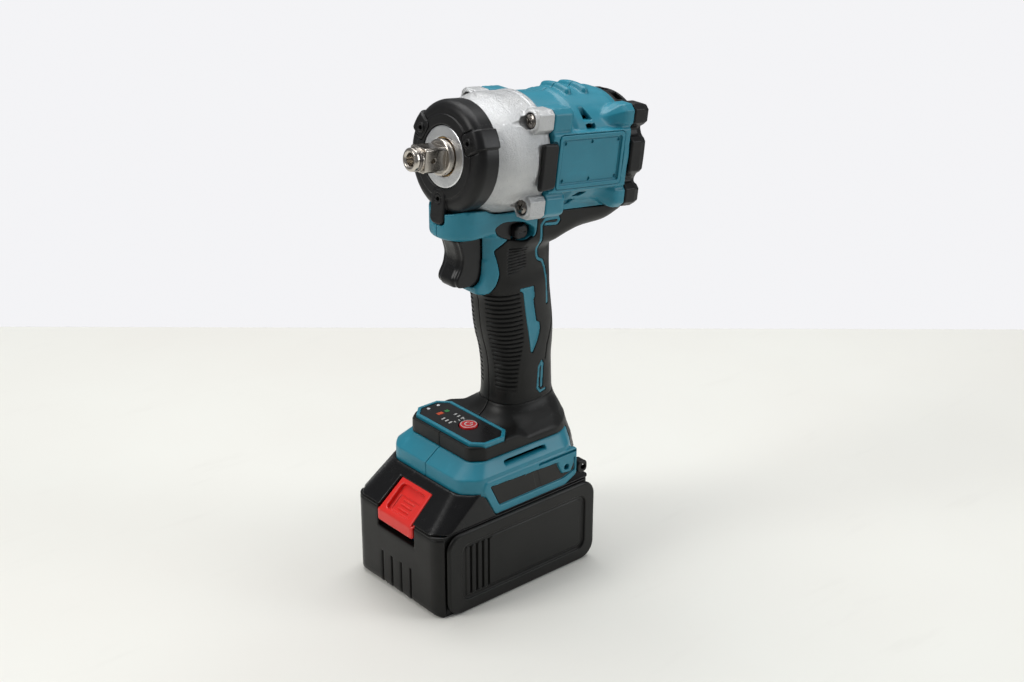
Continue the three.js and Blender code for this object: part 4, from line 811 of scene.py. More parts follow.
def make_side_plates():
    """Raised frame with a sunk label field and six small pin holes on each flat side."""
    f = Field.along_head((28, 28, -15), (33, 77, 16), 0.2)
    outer = rect(f.s, f.t, PLATE_LOW, PLATE_HIGH, 2.4)
    f.d[...] = meet(outer + 0.18, slab(f.x, 29.8, 32.15), 0.35)
    f.cut(both(rect(f.s, f.t, (31.4, -11.5), (73.4, 12.3), 1.0), 31.05 - f.x), 0.25)
    f.cut(both(np.abs(rect(f.s, f.t, (32.2, -10.7), (72.6, 11.5), 0.8)) - 0.16, 30.75 - f.x))
    for s in (33.9, 52.6, 71.4):
        for t in (10.2, -9.4):
            f.cut(both(rod(f.s, f.t, (s, t), 0.95), 30.2 - f.x), 0.15)
    cast_pair("side_plate", f, "tool", TEAL)


def ribs(f):
    """Finger ribs on the handle's sides and a fine patch below the lever, as a depth."""
    x = np.abs(f.x)
    bend = 0.0025 * (f.y - 7) ** 2
    wave = 0.5 + 0.5 * np.cos((f.z - bend) * (2 * math.pi / 2.62))
    rear = steps(f.z, [104, 118, 135, 150, 166], [17.5, 18.5, 20.5, 19.5, 16.8])
    mask = ramp(f.z, 104.5, 106.5) * (1 - ramp(f.z, 163.4, 165.0)) * ramp(x, 4.6, 5.8)
    mask = mask * (1 - ramp(f.y, rear - 0.9, rear))
    main = 0.9 * ramp(wave, 0.66, 1.0) * mask
    fine = 0.5 + 0.5 * np.cos(f.z * (2 * math.pi / 1.7))
    patch = poly(f.y, f.z, soft([(9.5, 190.5), (21.5, 190.6), (22.6, 176.4), (9.0, 172.6)], 2.0))
    patch = (1 - ramp(patch, -1.6, 0)) * ramp(x, 9, 11)
    return main + 0.7 * ramp(fine, 0.35, 0.9) * patch


def make_grip():
    f = Field((-0.6, -28, 58), (32.5, 92.5, 212), 0.34)
    outside = skin(f)
    f.d[...] = outside
    mid = f.part((-0.6, -8, 96), (22, 30, 196))
    mid.d[...] += ribs(mid)
    collar = f.part((-0.6, -2, 92), (30, 58, 124))
    collar.d[...] += 0.45 * (1 - ramp(np.abs(collar.z - 96.8 - 0.02 * (collar.y - 10)), 0.1, 0.5))
    back = f.part((-0.6, 30, 98), (30, 60, 170))
    line = stroke(back.y, back.z, [(46.5, 163), (45.6, 150), (43.0, 140), (37.6, 128), (36.2, 119.5)], 0.1)
    back.d[...] += 0.55 * (1 - ramp(np.abs(line), 0.15, 0.6)) * ramp(np.abs(back.x), 5, 6)
    f.keep(black_zone(f) + 0.14, 0.35)
    f.cut(inlays(f) - 0.14, 0.3)
    f.cut(skin(f, SKIN))
    f.cut(f.r - steps(f.s, [24, 43, 45.5], [31.3, 31.3, 32.5]))
    nose = f.part((-0.6, -28, 196), (32.5, 30, 212))
    nose.cut(case_room(nose))
    blocks = f.head((12, 20, -34), (32.5, 95, -8))
    blocks.cut(barrel(blocks) - 0.2)
    upper = f.part((-0.6, -28, 160), (32.5, 40, 212))
    upper.cut(trigger_room(upper), 0.5)
    upper.cut(lever_room(upper), 0.6)
    cap = f.head((-0.6, BARREL_END, -40), (32.5, 99, 10))
    cap.cut(both(cap_outline(cap) - 0.35, BARREL_END + 0.1 - cap.s), 0.3)
    panel = f.part((-0.6, -28, 80), (32.5, 10, 95))
    panel.cut(panel_room(panel), 0.3)
    f.keep(0.12 - f.x, 0.35)
    cast_pair("grip", f, "tool", GRIP, ("grip_left", "grip_right"))


def cap_outline(f):
    """Cross-section of the rear cap: a disc, four lobes and two side ears."""
    x, t = np.abs(f.x), np.abs(f.t)
    made = f.r - 30.2
    u, v = np.abs(x - SCREW_X), np.abs(t - CAP_SCREW)
    lobe = eight_sided(u, v, 6.3, 7.0)
    made = union(made, lobe, 2.5)
    ear = both(rect(x, t, (-FLAT_X, -10.2), (FLAT_X, 10.2), 1.0), (x + t - 39.8) * DIAGONAL)
    return union(made, ear, 1.5)


# ---- nose, hammer case and bumper


def make_anvil():
    f = Field.along_head((-10, NOSE_TIP - 0.8, -10), (10, NOSE_FACE + 3, 10), 0.16)
    half = 6.35
    places = [NOSE_TIP, NOSE_TIP + 0.9, -39.5, -39.3, -37.5, -37.3, -36.5, -36.3]
    reach = steps(f.s, places, [5.0, 6.0, 6.0, 4.6, 4.6, 5.9, 5.9, 5.2])
    f.d[...] = both(f.r - reach, slab(f.s, NOSE_TIP, -33))
    square = meet(rect(f.x, f.t, (-half, -half), (half, half), 0.3), f.r - half * 1.30, 0.2)
    f.add(meet(square, slab(f.s, -36.4, -22), 0.35), 0.1)
    f.add(meet(f.r - 9.4, slab(f.s, -23.4, NOSE_FACE + 2.5), 1.0), 0.25)
    hollow = both(f.r - np.interp(f.s, [NOSE_TIP, NOSE_TIP + 0.8], [4.1, 3.3]), f.s - NOSE_TIP - 5.5)
    f.cut(hollow, 0.2)
    f.cut(both(rod(f.s, f.t, (-31.3, 0), 1.45), 3.4 - np.abs(f.x)), 0.15)
    cast("square_drive", f, "drive", DRIVE, ["anvil"])
    ring = Field.along_head((-7, -40, -7), (7, -36.5, 7), 0.14)
    ring.d[...] = np.hypot(ring.r - 5.45, ring.s + 38.4) - 0.85
    ring.cut(both(slab(ring.x, -0.5, 0.5), ring.t))
    cast("snap_ring", ring, "drive", SCREW, ["friction_ring"])


def case_profile(s):
    """Outside radius of the hammer case along the drive axis."""
    places = [-15, -12, -9.5, -7, -2.5, 2.5, 7, 12, 20.6, 21.4, 25]
    return steps(s, places, [22, 24, 26.3, 27.3, 29.4, 31.0, 31.5, 31.6, 31.6, 32.0, 32.0])


def make_case():
    f = Field.along_head((-33.4, -16, -33.4), (33.4, 43, 33.4), 0.4)
    x = np.abs(f.x)
    f.d[...] = meet(f.r - case_profile(f.s), slab(f.s, -15, FLANGE), 1.0)
    for z in (SCREW_TOP, SCREW_LOW):
        u, v = np.abs(x - SCREW_X), np.abs(f.t - z)
        lug = eight_sided(u, v, 6.1, 7.0)
        f.add(meet(lug, slab(f.s, 14.2, FLANGE), 0.5), 0.9)
        f.add(meet(rod(x, f.t, (SCREW_X, z), 5.5), slab(f.s, 13.2, FLANGE), 0.5), 0.6)
        along = np.clip((f.s - 1) / 12, 0, 1)
        gusset = np.hypot(x - (21.2 + 1.2 * along), f.t - z * (0.84 + 0.02 * along)) - (0.8 + 3.2 * along)
        f.add(meet(gusset, slab(f.s, 0, 14), 0.6), 2.2)
    dent = np.sqrt(((x - 33.6) / 2.2) ** 2 + ((f.s - 13.2) / 2.6) ** 2 + ((f.t + 0.5) / 11.5) ** 2) - 1
    f.cut(dent * 2.0, 1.0)
    f.keep(both(f.r - 44, -f.s - 15))
    f.add(meet(np.abs(f.r - 26.8) - 1.2, slab(f.s, 24, 42), 0.3))
    f.cut(both(f.r - 25.6, 9.5 - f.s), 0.3)
    f.cut(f.r - 10.2, 0.4)
    for z in (SCREW_TOP, SCREW_LOW):
        room = 4.25 - np.maximum(10.5 - f.s, 0) * 0.8
        f.cut(both(rod(x, f.t, (SCREW_X, z), 0.0) - room, f.s - 15.6), 0.4)
        f.cut(rod(x, f.t, (SCREW_X, z), 2.2))
    f.cut(pad_seat(f), 0.4)
    cast("hammer_housing", f, "tool", CAST, ["hammer_case"])
    disc = Field.along_head((-17, -21, -17), (17, -13, 17), 0.3)
    disc.d[...] = meet(meet(disc.r - 16, slab(disc.s, NOSE_FACE, -14.2), 0.6), 10.0 - disc.r, 0.5)
    cast("nose_face", disc, "tool", TURNED)


def make_bumper():
    f = Field.along_head((-32.5, -23, -34.5), (32.5, -1, 32.5), 0.32)
    front = NOSE_FACE + 0.1
    ring = meet(meet(f.r - 28.8, -(f.s - front - 0.2), 5.2), slab(f.s, -40, -7.4), 0.5)
    f.d[...] = ring
    f.add(meet(f.r - 21.5, slab(f.s, front - 0.5, -10), 0.4), 0.15)
    over = meet(meet(f.r - 29.7, -(f.s - front + 0.7), 4.6), slab(f.s, front - 0.7, -6.6), 0.8)
    for degrees in (30, 150, 270):
        a = math.radians(degrees)
        u, v = f.x * math.cos(a) + f.t * math.sin(a), f.t * math.cos(a) - f.x * math.sin(a)
        if degrees == 270:
            arm = rect(u, v, (17.0, -5.2), (34.7, 5.2), 3.4)
            f.add(meet(arm, slab(f.s, front - 1.3, -18.4), 0.7), 0.3)
        else:
            groove = np.abs(rect(u, v, (17.6, -5.9), (40, 5.9), 2.5)) - 0.25
            f.cut(both(groove, f.s - front - 1.2), 0.15)
            f.add(meet(over, rect(u, v, (17.9, -5.1), (40, 5.1), 2.4), 0.6), 0.3)
        f.add(meet(rod(u, v, (21.7, 0), 2.6), slab(f.s, front - 1.3, -18), 0.3), 0.15)
        f.cut(both(np.abs(rod(u, v, (21.7, 0), 2.75)) - 0.15, f.s - front + 0.3))
        f.cut(both(rod(u, v, (21.7, 0), 1.2), f.s - front - 3.0), 0.15)
    f.cut(f.r - 16.25, 0.5)
    inside = both(f.r - case_profile(f.s) - 0.12, -14.8 - f.s)
    f.cut(inside)
    cast("front_bumper", f, "tool", BUMPER, ["nose_bumper"])


def pan_screw(name, radius, height, shank, length, step=0.13):
    """A pan head screw along +y with a cross recess, its seat at the origin."""
    reach = radius + 0.6
    f = Field((-reach, -height - 0.6, -reach), (reach, length + 0.4, reach), step)
    r = np.hypot(f.x, f.z)
    dome = np.sqrt(r ** 2 + (f.y + height - radius * 1.9) ** 2) - radius * 1.9
    head = meet(meet(r - radius, slab(f.y, -height - 1, 0), 0.25), dome, 0.5)
    f.d[...] = head
    f.add(meet(r - shank, slab(f.y, -1, length), 0.3), 0.2)
    low, high = (-0.42, -2.1), (0.42, 2.1)
    cross = either(rect(f.x, f.z, low, high, 0.1), rect(f.z, f.x, low, high, 0.1))
    cross = either(cross, rod(f.x, f.z, (0, 0), 0.95))
    f.cut(both(cross, f.y + height - 1.5), 0.12)
    return mesh_of(name, *surface(f))


def place_screw(name, mesh, matrix, node, turn=0.0):
    copy = mesh.copy()
    copy.name = name
    copy.transform(matrix @ Matrix.Rotation(turn, 4, "Y"))
    new_object(name, copy, "tool", SCREW, [node])


def head_matrix(x, s, t):
    place = Matrix.Translation([v * MM for v in from_head(x, s, t)])
    return place @ Matrix.Rotation(-math.atan2(TILT_S, TILT_C), 4, "X")


def make_screws():
    case = pan_screw("case_screw", 3.75, 2.9, 2.0, 20)
    corners = ((1, 1), (-1, 1), (-1, -1), (1, -1))
    for i, (a, b) in enumerate(corners):
        x, z = a * SCREW_X, SCREW_TOP if b > 0 else SCREW_LOW
        place_screw(f"pan_screw_case_{i + 1}", case, head_matrix(x, 15.4, z), f"case_screw_{i + 1}", 0.6 + i)
    rear = pan_screw("cap_screw", 3.0, 2.0, 1.9, 16)
    for i, (a, b) in enumerate(corners):
        matrix = head_matrix(a * SCREW_X, CAP_END - 3.2, b * CAP_SCREW) @ Matrix.Rotation(math.pi, 4, "Z")
        place_screw(f"pan_screw_cap_{i + 1}", rear, matrix, f"cap_screw_{i + 1}", 0.4 + i)
    shell = pan_screw("shell_screw", 2.9, 1.8, 1.5, 20)
    for i in range(4):
        low, high = span(f"housing_screw_{i + 1}")
        seat = (low[0] + 2.2, (low[1] + high[1]) / 2, (low[2] + high[2]) / 2)
        matrix = Matrix.Translation([v * MM for v in seat]) @ Matrix.Rotation(-math.pi / 2, 4, "Z")
        place_screw(f"pan_screw_shell_{i + 1}", shell, matrix, f"housing_screw_{i + 1}", 0.3 + i)


def make_cap():
    f = Field.along_head((-33, BARREL_END - 0.5, -29.5), (33, CAP_END + 0.8, 29.5), 0.36)
    outside = cap_outline(f)
    taper = 0.28 * np.maximum(f.s - 88.5, 0)
    f.d[...] = meet(outside + taper, slab(f.s, BARREL_END + 0.35, CAP_END), 1.2)
    f.cut(both(f.r - 22.5, CAP_END - 1.2 - f.s), 0.6)
    f.cut(both(f.r - 25.8, slab(f.s, 70, CAP_END - 3.6)), 0.4)
    for z in (-17.0, -12.4, -7.8, 7.8, 12.4, 17.0):
        half = math.sqrt(max(20.5 ** 2 - z * z, 9)) - 1.5
        f.cut(both(rect(f.x, f.t, (-half, z - 1.15), (half, z + 1.15), 1.1), CAP_END - 9 - f.s), 0.3)
    f.add(meet(f.r - 6.0, slab(f.s, CAP_END - 4, CAP_END - 0.7), 0.6), 0.5)
    x, t = np.abs(f.x), np.abs(f.t)
    for a in (-10.0, 0.0, 10.0):
        f.cut(both(rect(f.x, f.s, (a - 3.6, 84.4), (a + 3.6, 90.2), 1.0), 24 - f.t), 0.3)
    f.cut(both(rod(x, t, (SCREW_X, CAP_SCREW), 3.5), CAP_END - 3.3 - f.s), 0.4)
    f.cut(rod(x, t, (SCREW_X, CAP_SCREW), 2.1))
    cast("motor_cap", f, "tool", BLACK, ["rear_cap"])


def make_pads():
    f = Field.along_head((29.6, 15.5, -15), (34, 29.5, 13), 0.25)
    outline = soft([(17.6, 11.3), (28.2, 10.9), (28.2, -12.6), (17.2, -13.6), (17.9, -4)], 2.2)
    f.d[...] = meet(poly(f.s, f.t, outline), slab(f.x, 30.4, 33.3), 1.3)
    cast_pair("rubber_pad", f, "tool", BUMPER, ("side_pad_left", "side_pad_right"))


# ---- controls


def make_trigger():
    f = Field((-10, -25, 168), (10, 8, 199), 0.27)
    low, top, front = TRIGGER_LOW, TRIGGER_TOP, TRIGGER_FRONT
    outline = [
        (-1.9, top), (-18.4, top), (-16.6, 193.6), (-15.0, 187.5), (-16.2, 181.5), (-19.2, 176.6),
        (front, 173.8), (-18.0, 171.4), (-12.2, low), (-6.0, low + 0.3), (-2.4, low + 1.6), (-1.9, low + 5.0),
    ]
    side = poly(f.y, f.z, soft(outline, 2.0, 6))
    behind = poly(f.y - 1.0, f.z - 0.3, soft(outline, 2.0, 6))
    f.d[...] = meet(both(side, behind), np.abs(f.x) - TRIGGER_HALF + 0.1, 1.0)
    f.add(meet(side, np.abs(f.x) - 7.0, 3.8), 0.4)
    f.add(meet(np.hypot(f.x, f.z - (low + top) / 2) - 2.6, slab(f.y, -5, 7), 0.3))
    cast("trigger_blade", f, "trigger", TRIGGER, ["trigger"])


def lever_rect(f, half_y, half_z, radius):
    """A rectangle about the lever's middle, seen from the side."""
    low, high = (LEVER_Y - half_y, LEVER_Z - half_z), (LEVER_Y + half_y, LEVER_Z + half_z)
    return rect(f.y, f.z, low, high, radius)


def make_lever():
    """The reversing lever, which reaches through both sides, and its two shields."""
    f = Field((-20, 8, 191), (20, 26, 206), 0.27)
    x = np.abs(f.x)
    f.d[...] = meet(lever_rect(f, 4.2, 3.2, 1.2), x - 12.6, 0.6)
    bevel = (np.abs(f.y - LEVER_Y) + np.abs(f.z - LEVER_Z) - 5.9) * DIAGONAL
    f.add(meet(both(lever_rect(f, 4.0, 3.5, 1.6), bevel), x - 18.9, 1.0), 0.5)
    f.cut(both(lever_rect(f, 2.4, 0.5, 0.4), 18.4 - x), 0.2)
    cast("reversing_knob", f, "direction_lever", TRIGGER, ["direction_lever"])
    plate = Field((12.0, -2, 190), (17.5, 27, 208), 0.3)
    pocket = poly(plate.y, plate.z, soft(LEVER_POCKET, 2.5)) + 0.1
    shield = meet(pocket, slab(plate.x, 13.3, 15.4), 0.4)
    plate.d[...] = meet(shield, -lever_rect(plate, 4.6, 4.1, 1.5), 0.4)
    cast_pair("lever_shield", plate, "tool", TRIGGER)


def make_panel():
    f = Field((-30.5, -25, 84.5), (30.5, 3.5, 91.5), 0.3)
    frame_shape = panel_outline(f)
    f.d[...] = meet(frame_shape, slab(f.z, 86.4, PANEL_TOP), 0.5)
    f.cut(both(frame_shape + 1.9, 88.2 - f.z), 0.3)
    f.cut(rod(f.x, f.y, (BUTTON_X, BUTTON_Y), 5.6))
    cast("panel_surround", f, "tool", TEAL, ["panel_frame"])
    g = Field((-29, -23, 87), (29, 2, 91), 0.3)
    g.d[...] = meet(panel_outline(g) + 2.05, slab(g.z, 88.4, PANEL_TOP - 0.45), 0.3)
    g.cut(rod(g.x, g.y, (BUTTON_X, BUTTON_Y), 5.6), 0.2)
    cast("panel_cover", g, "tool", PANEL, ["panel_plate"])
    marks(PANEL_TOP - 0.45)


def flat_piece(name, outlines, z, thick, body_name, material):
    """Thin raised prints, each a closed outline in x and y, as one mesh."""
    work = bmesh.new()
    for points in outlines:
        low = [work.verts.new((x * MM, y * MM, z * MM)) for x, y in points]
        high = [work.verts.new((x * MM, y * MM, (z + thick) * MM)) for x, y in points]
        work.faces.new(low[::-1])
        work.faces.new(high)
        for i in range(len(points)):
            j = (i + 1) % len(points)
            work.faces.new((low[i], low[j], high[j], high[i]))
    bmesh.ops.recalc_face_normals(work, faces=work.faces)
    mesh = bpy.data.meshes.new(name)
    work.to_mesh(mesh)
    work.free()
    new_object(name, mesh, body_name, material)


def oblong(cx, cy, long, wide, turn=0.0):
    c, s = math.cos(turn), math.sin(turn)
    corners = ((-long, -wide), (long, -wide), (long, wide), (-long, wide))
    return [(cx + (a * c - b * s) / 2, cy + (a * s + b * c) / 2) for a, b in corners]


def disc(cx, cy, radius, count=28):
    turns = [2 * math.pi * k / count for k in range(count)]
    return [(cx + radius * math.cos(a), cy + radius * math.sin(a)) for a in turns]


def arc_band(cx, cy, inner, outer, start, end, count=36):
    turn = [start + (end - start) * k / count for k in range(count + 1)]
    return [(cx + outer * math.cos(a), cy + outer * math.sin(a)) for a in turn] + [
        (cx + inner * math.cos(a), cy + inner * math.sin(a)) for a in reversed(turn)]


def marks(z):
    """Lamps and plain strokes on the panel, with no lettering."""
    strokes = [oblong(-9.4 + 3.0 * k, -15.0, 1.0, 2.6, 0.15) for k in range(3)]
    strokes += [oblong(-9.4 + 3.0 * k, -6.6, 1.0, 2.2, 0.15) for k in range(3)]
    strokes += [oblong(-2.4, -12.6 + 3.0 * k, 1.6, 0.7) for k in range(3)]
    for name, outlines, thick, material in (
        ("panel_lamps", [disc(-24.0, -7.0, 0.95), disc(-24.0, -13.8, 0.95)], 0.45, LENS),
        ("panel_strokes", strokes, 0.26, PRINT),
        ("panel_lamp_orange", [oblong(-15.6, -12.4, 2.6, 3.8)], 0.28, ORANGE),
        ("panel_lamp_green", [oblong(-15.6, -7.6, 2.4, 2.6)], 0.28, GREEN),
    ):
        flat_piece(name, outlines, z - 0.2, thick, "tool", material)


def make_button():
    f = Field((BUTTON_X - 7, BUTTON_Y - 7, 84.5), (BUTTON_X + 7, BUTTON_Y + 7, 91.5), 0.2)
    r = np.hypot(f.x - BUTTON_X, f.y - BUTTON_Y)
    f.d[...] = meet(r - 5.0, slab(f.z, 86, BUTTON_HIGH[2]), 0.5)
    f.add(meet(r - 6.2, slab(f.z, 85.2, 86.1), 0.2))
    cast("power_key", f, "power_button", BUTTON, ["power_button"])
    at = (BUTTON_X, BUTTON_Y)
    nearly_round = 2 * math.pi * 0.9999   # so that the band's two ends don't meet
    ring = arc_band(*at, 4.1, 4.5, 0, nearly_round, 60)
    arc = arc_band(*at, 1.75, 2.35, math.radians(130), math.radians(410), 30)
    symbol = [arc, oblong(at[0], at[1] + 1.9, 0.6, 2.0)]
    flat_piece("power_marks", symbol, BUTTON_HIGH[2] - 0.15, 0.25, "power_button", PRINT)
    flat_piece("power_ring", [ring], BUTTON_HIGH[2] - 0.3, 0.38, "power_button", PRINT)


# ---- foot fittings and battery


def make_foot_fittings():
    f = Field((34.2, -21, 53.5), (36.2, 42.5, 69), 0.22)
    film = both(poly(f.y, f.z, soft(LABEL_SHAPE, 1.0)) + 0.4, 0.35 - poly(f.y, f.z, soft(LABEL_TAB, 0.8)))
    f.d[...] = meet(film, slab(f.x, 34.6, 35.3), 0.15)
    f.cut(both(rect(f.y + 0.25 * (f.z - 60), f.z, (12.2, 50), (15.8, 70), 0.2), 35.15 - f.x))
    cast_pair("foot_label", f, "tool", LABEL)
    g = Field((29, 42, 53), (37.4, 51, 62), 0.25)
    g.d[...] = meet(rect(g.y, g.z, (43.2, 54.1), (50, 61), 2.4), slab(g.x, 30, 36.3), 0.6)
    g.cut(rod(g.y, g.z, (47.0, 57.5), 1.7), 0.3)
    g.cut(both(rod(g.x, g.z, (33.1, 57.5), 1.2), 46 - g.y))
    cast("strap_eye", g, "tool", BLACK, ["strap_loop"])


LATCH_SIDE = [
    (-57.0, 40.8), (-57.0, 48.0), (-40.7, 62.0), (-38.5, 60), (-38.5, 52), (-52.4, 44.8), (-52.4, 40.8),
]


def slope(f):
    """Height above the battery's sloping front, square to it."""
    (y0, z0), (y1, z1) = (PACK_FRONT + 0.2, 49.4), (-38.4, SHOULDER_TOP)
    size = math.hypot(y1 - y0, z1 - z0)
    return ((y1 - y0) * (f.z - z0) - (z1 - z0) * (f.y - y0)) / size


def latch_room(f):
    half = np.where(f.z < 49.2, 16.0, 14.6 - 0.07 * np.clip(f.z - 49, 0, 20))
    above = both(np.abs(f.x) - half, slab(f.y, -70, -38.0))
    return both(both(above, (f.y + 41.4) * 0.7 + (f.z - 62.2) * 0.4), slab(f.z, 36.2, 80))


def make_battery_lower():
    f = Field((-38.5, -58, -0.8), (38.5, 54, 50), 0.45)
    x = np.abs(f.x)
    plan = rect(f.x, f.y, (-CORE_HALF, PACK_FRONT), (CORE_HALF, 53), 8.5)
    f.d[...] = meet(plan, slab(f.z, 0, PACK_TOP), 1.0)
    f.keep((PACK_FRONT - f.y) * 0.75 - (f.z - 2.6) * 0.66, 1.5)
    f.cut(both(both(35.9 - x, PACK_BACK - 0.35 - f.y), -f.z - 5), 0.4)
    waist = both(np.abs(f.z - 47.6) - 0.35, -(plan + 0.55))
    f.cut(both(waist, f.y + 50.5), 0.2)
    for a in (-12.5, -4.15, 4.15, 12.5):
        groove = np.hypot(f.x - a, both(np.abs(f.z - 10.2) - 10.6, 0)) - 0.75
        f.cut(both(groove, f.y - PACK_FRONT - 1.1), 0.5)
        foot_cut = np.hypot(f.x - a, f.z) - 1.9
        f.cut(both(foot_cut, f.y - PACK_FRONT - 3.0), 0.6)
    f.cut(both(both(x - 33.4, slab(f.y, PACK_FRONT + 4.5, 49)), 2.4 - f.z))
    nose = f.part((-17.5, -58, 34), (17.5, -37, 50))
    nose.cut(latch_room(nose), 0.6)
    for a in (-18.0, 0.0, 18.0):
        f.cut(both(rect(f.x, f.y, (a - 6, -34), (a + 6, 34), 1.5), f.z - 0.7), 0.3)
    cast("pack_case", f, "battery", PACK, ["battery_lower"], 0.01)


def make_battery_upper():
    f = Field((-38.5, -58, 48), (38.5, 54, 67.5), 0.38)
    x = np.abs(f.x)
    face = PACK_FRONT + 0.3
    front = poly(f.y, f.z, [(face, 49.35), (face, 49.9), (-36.9, 66.1), (-14, 66.1), (-14, 49.35)])
    wide = steps(f.z, [49.3, 66], [CORE_HALF - 0.3, 35.4])
    corner = (x - f.y - 63 - 1.464 * (66 - f.z)) / 2.035
    lid = meet(meet(front, x - wide, 1.2), corner, 1.5)
    room = either(foot(f), both(poly(f.y, f.z, soft(SKIRT, 1.5)), 32.6 - x)) - 0.4
    lid = both(lid, -room)
    deck = meet(slab(f.y, -40, PACK_REAR - 14), slab(f.z, 49.35, 61.6), 0.4)
    lid = either(lid, both(both(deck, x - 32.5), corner + 0.8))
    rear = meet(rect(f.x, f.y, (-35.6, -30), (35.6, 53), 4), slab(f.z, 49.35, 50.3), 0.3)
    f.d[...] = either(lid, rear)
    f.cut(both(both(27.9 - x, slab(f.z, 54.0, 57.8)), -14.5 - f.y), 0.2)
    for a in (-15.0, 0.0, 15.0):
        f.cut(both(rect(f.x, f.z, (a - 1.2, 54), (a + 1.2, 70), 0.2), 1 - f.y), 0.2)
    f.cut(both(both(x - 26, slab(f.y, -33, 37)), f.z - 53.5))
    nose = f.part((-17.5, -58, 48), (17.5, -36, 67))
    nose.cut(latch_room(nose), 0.8)
    cast("pack_top", f, "battery", GLOSS, ["battery_upper"], 0.01)


def make_covers():
    f = Field((35.4, -52, -0.8), (39.8, 55, 50), 0.3)
    outer = rect(f.y, f.z, (PACK_BACK, 0), (PACK_REAR, PACK_TOP), 9.5)
    f.d[...] = meet(outer, slab(f.x, 36.15, PACK_HALF), 1.7)
    inner = rect(f.y, f.z, (-41.6, 7.4), (46.6, 41.4), 5.5)
    f.cut(meet(inner, 37.75 - f.x, 0.5), 0.6)
    field = rect(f.y, f.z, (-23.4, 9.4), (44.6, 39.6), 4.0)
    f.add(meet(field, slab(f.x, 36.2, 38.15), 0.4), 0.2)
    for i in range(4):
        y = -38.6 + i * 4.15
        bar = meet(rect(f.y, f.z, (y, 9.6), (y + 2.5, 39.4), 1.0), slab(f.x, 36.2, 38.35), 0.4)
        f.add(bar, 0.2)
        f.cut(both(rect(f.y, f.z, (y + 2.6, 9.8), (y + 4.0, 39.0), 0.6), 36.9 - f.x), 0.15)
    cast_pair("pack_side", f, "battery", PACK, ("battery_cover_left", "battery_cover_right"))


def make_latch():
    f = Field((-15.6, -58, 39.5), (15.6, -37, 63.5), 0.25)
    x = np.abs(f.x)
    side = poly(f.y, f.z, soft(LATCH_SIDE, 0.9))
    up = slope(f)
    along = (f.y + 57) * 0.74 + (f.z - 48) * 0.67
    f.d[...] = meet(side, x - LATCH_HALF + 0.4 + 0.045 * np.clip(along, 0, 24), 0.8)
    f.add(meet(meet(side, x - 15.3, 1.2), f.z - 47.6 - 0.15 * (f.y + 57), 0.8), 0.5)
    well = rect(f.x, along, (-9.8, 2.6), (9.8, 18.4), 1.8)
    f.cut(both(well, -(up + 2.9)), 0.7)
    lower = rect(f.x, along, (-8.0, 3.6), (8.0, 12.8), 0.8)
    f.cut(both(lower, -(up + 3.6)), 0.3)
    for i in range(3):
        bar = rect(f.x, along, (-4.6, 5.2 + i * 2.7), (4.6, 5.9 + i * 2.7), 0.3)
        f.add(meet(bar, slab(up, -5.0, -2.9), 0.2), 0.2)
    cast("release_latch", f, "battery_latch", RED, ["battery_latch"])


# ---- everything, then the stage

for make in (
    make_shell, make_side_plates, make_grip, make_anvil, make_case, make_bumper, make_screws, make_cap,
    make_pads, make_trigger, make_lever, make_panel, make_button, make_foot_fittings, make_battery_lower,
    make_battery_upper, make_covers, make_latch,
):
    make()

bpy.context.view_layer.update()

AZIMUTH, ELEVATION, ROLL = math.radians(49.34), math.radians(23.92), math.radians(0.15)
back = Vector((
    math.sin(AZIMUTH) * math.cos(ELEVATION), -math.cos(AZIMUTH) * math.cos(ELEVATION), math.sin(ELEVATION),
))
right = Vector((math.cos(AZIMUTH), math.sin(AZIMUTH), 0))

lens = bpy.data.cameras.new("view")
lens.sensor_width, lens.lens = 36.0, 59.49
lens.clip_start, lens.clip_end = 0.02, 40
camera = bpy.data.objects.new("view", lens)
bpy.context.scene.collection.objects.link(camera)
camera.location = Vector((0, 0, 0.13487)) + right * 0.01968 + back * 0.90454
camera.rotation_mode = "QUATERNION"
look = (-back).to_track_quat("-Z", "Y")
camera.rotation_quaternion = look @ Matrix.Rotation(ROLL, 3, "Z").to_quaternion()
bpy.context.scene.camera = camera


MIDDLE, UP = Vector((0, 0.01, 0.14)), Vector((0, 0, 1))


def lamp(name, offset, size, power, color=(1, 1, 1)):
    """A soft box at an offset from the tool's middle, turned towards it."""
    data = bpy.data.lights.new(name, "AREA")
    data.shape, data.size, data.size_y = "RECTANGLE", size[0], size[1]
    data.energy, data.color = power, color
    item = bpy.data.objects.new(name, data)
    bpy.context.scene.collection.objects.link(item)
    item.location = MIDDLE + offset
    item.rotation_mode = "QUATERNION"
    item.rotation_quaternion = (-offset).to_track_quat("-Z", "Y")


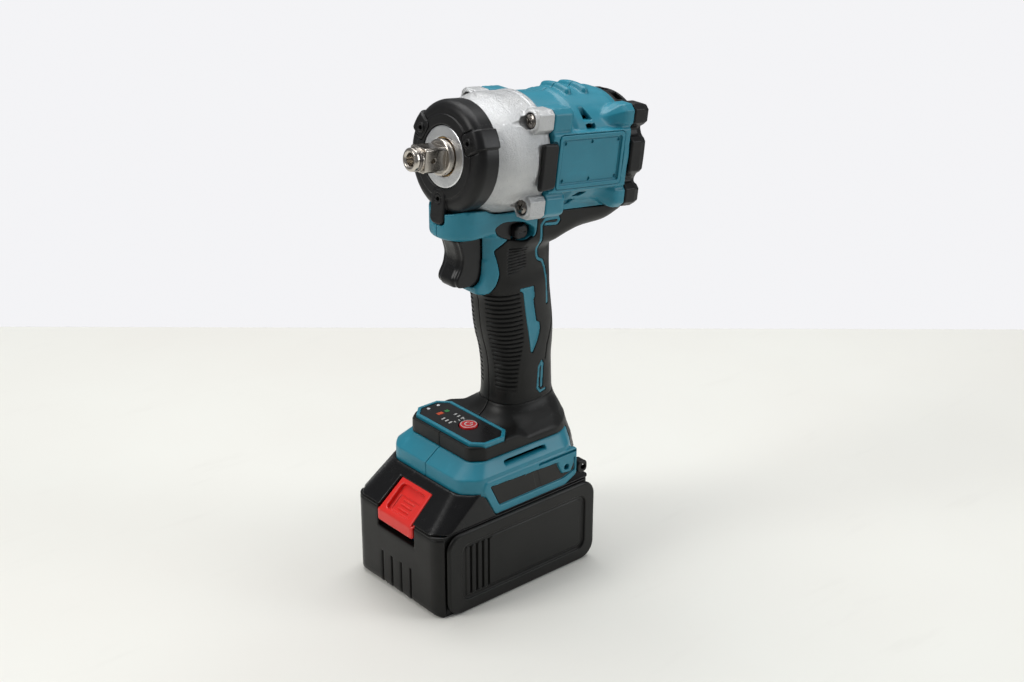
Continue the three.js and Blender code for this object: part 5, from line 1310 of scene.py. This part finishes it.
lamp("softbox_left", right * -1.1 + back * 0.5 + UP * 0.65, (0.5, 0.7), 8.5, (1, 0.99, 0.97))
lamp("softbox_right", right * 1.25 + back * 0.15 + UP * 0.5, (0.5, 0.9), 5.5, (0.97, 0.99, 1))
lamp("softbox_top", UP * 1.25 - back * 0.35, (1.3, 0.9), 14)


def floor_material():
    made = Shader("table_top", (0.80, 0.80, 0.755), 0.5)
    made.tint(made.fit(made.noise(3, 4), 0.35, 0.7), (0.77, 0.755, 0.71))
    fibres = made.noise(60, 6, 0.6, stretch=(1, 0.2, 1))
    made.tint(made.fit(fibres, 0.6, 0.8), (0.70, 0.69, 0.65), 0.35)
    made.bump(made.noise(700, 3), 0.01)
    return made.done()


def make_floor():
    """A pale table whose far edge lies level behind the tool."""
    far, near, wide = 0.3278, 3.5, 4.0
    ahead = Vector((-back.x, -back.y, 0)).normalized()
    work = bmesh.new()
    corners = ((far, wide), (far, -wide), (-near, -wide), (-near, wide))
    work.faces.new([work.verts.new(ahead * a + right * b) for a, b in corners])
    bmesh.ops.recalc_face_normals(work, faces=work.faces)
    mesh = bpy.data.meshes.new("table_top")
    work.to_mesh(mesh)
    work.free()
    item = bpy.data.objects.new("table_top", mesh)
    bpy.context.scene.collection.objects.link(item)
    mesh.materials.append(floor_material())


make_floor()

world = bpy.data.worlds.new("room")
bpy.context.scene.world = world
world.use_nodes = True
tree = world.node_tree
light, wall = tree.nodes["Background"], tree.nodes.new("ShaderNodeBackground")
light.inputs["Color"].default_value, light.inputs["Strength"].default_value = (0.95, 0.97, 1.0, 1), 0.22
wall.inputs["Color"].default_value, wall.inputs["Strength"].default_value = (0.93, 0.93, 0.95, 1), 0.97
path, choice = tree.nodes.new("ShaderNodeLightPath"), tree.nodes.new("ShaderNodeMixShader")
tree.links.new(path.outputs["Is Camera Ray"], choice.inputs["Fac"])
tree.links.new(light.outputs["Background"], choice.inputs[1])
tree.links.new(wall.outputs["Background"], choice.inputs[2])
tree.links.new(choice.outputs["Shader"], tree.nodes["World Output"].inputs["Surface"])
bpy.context.scene.view_settings.view_transform = "Standard"
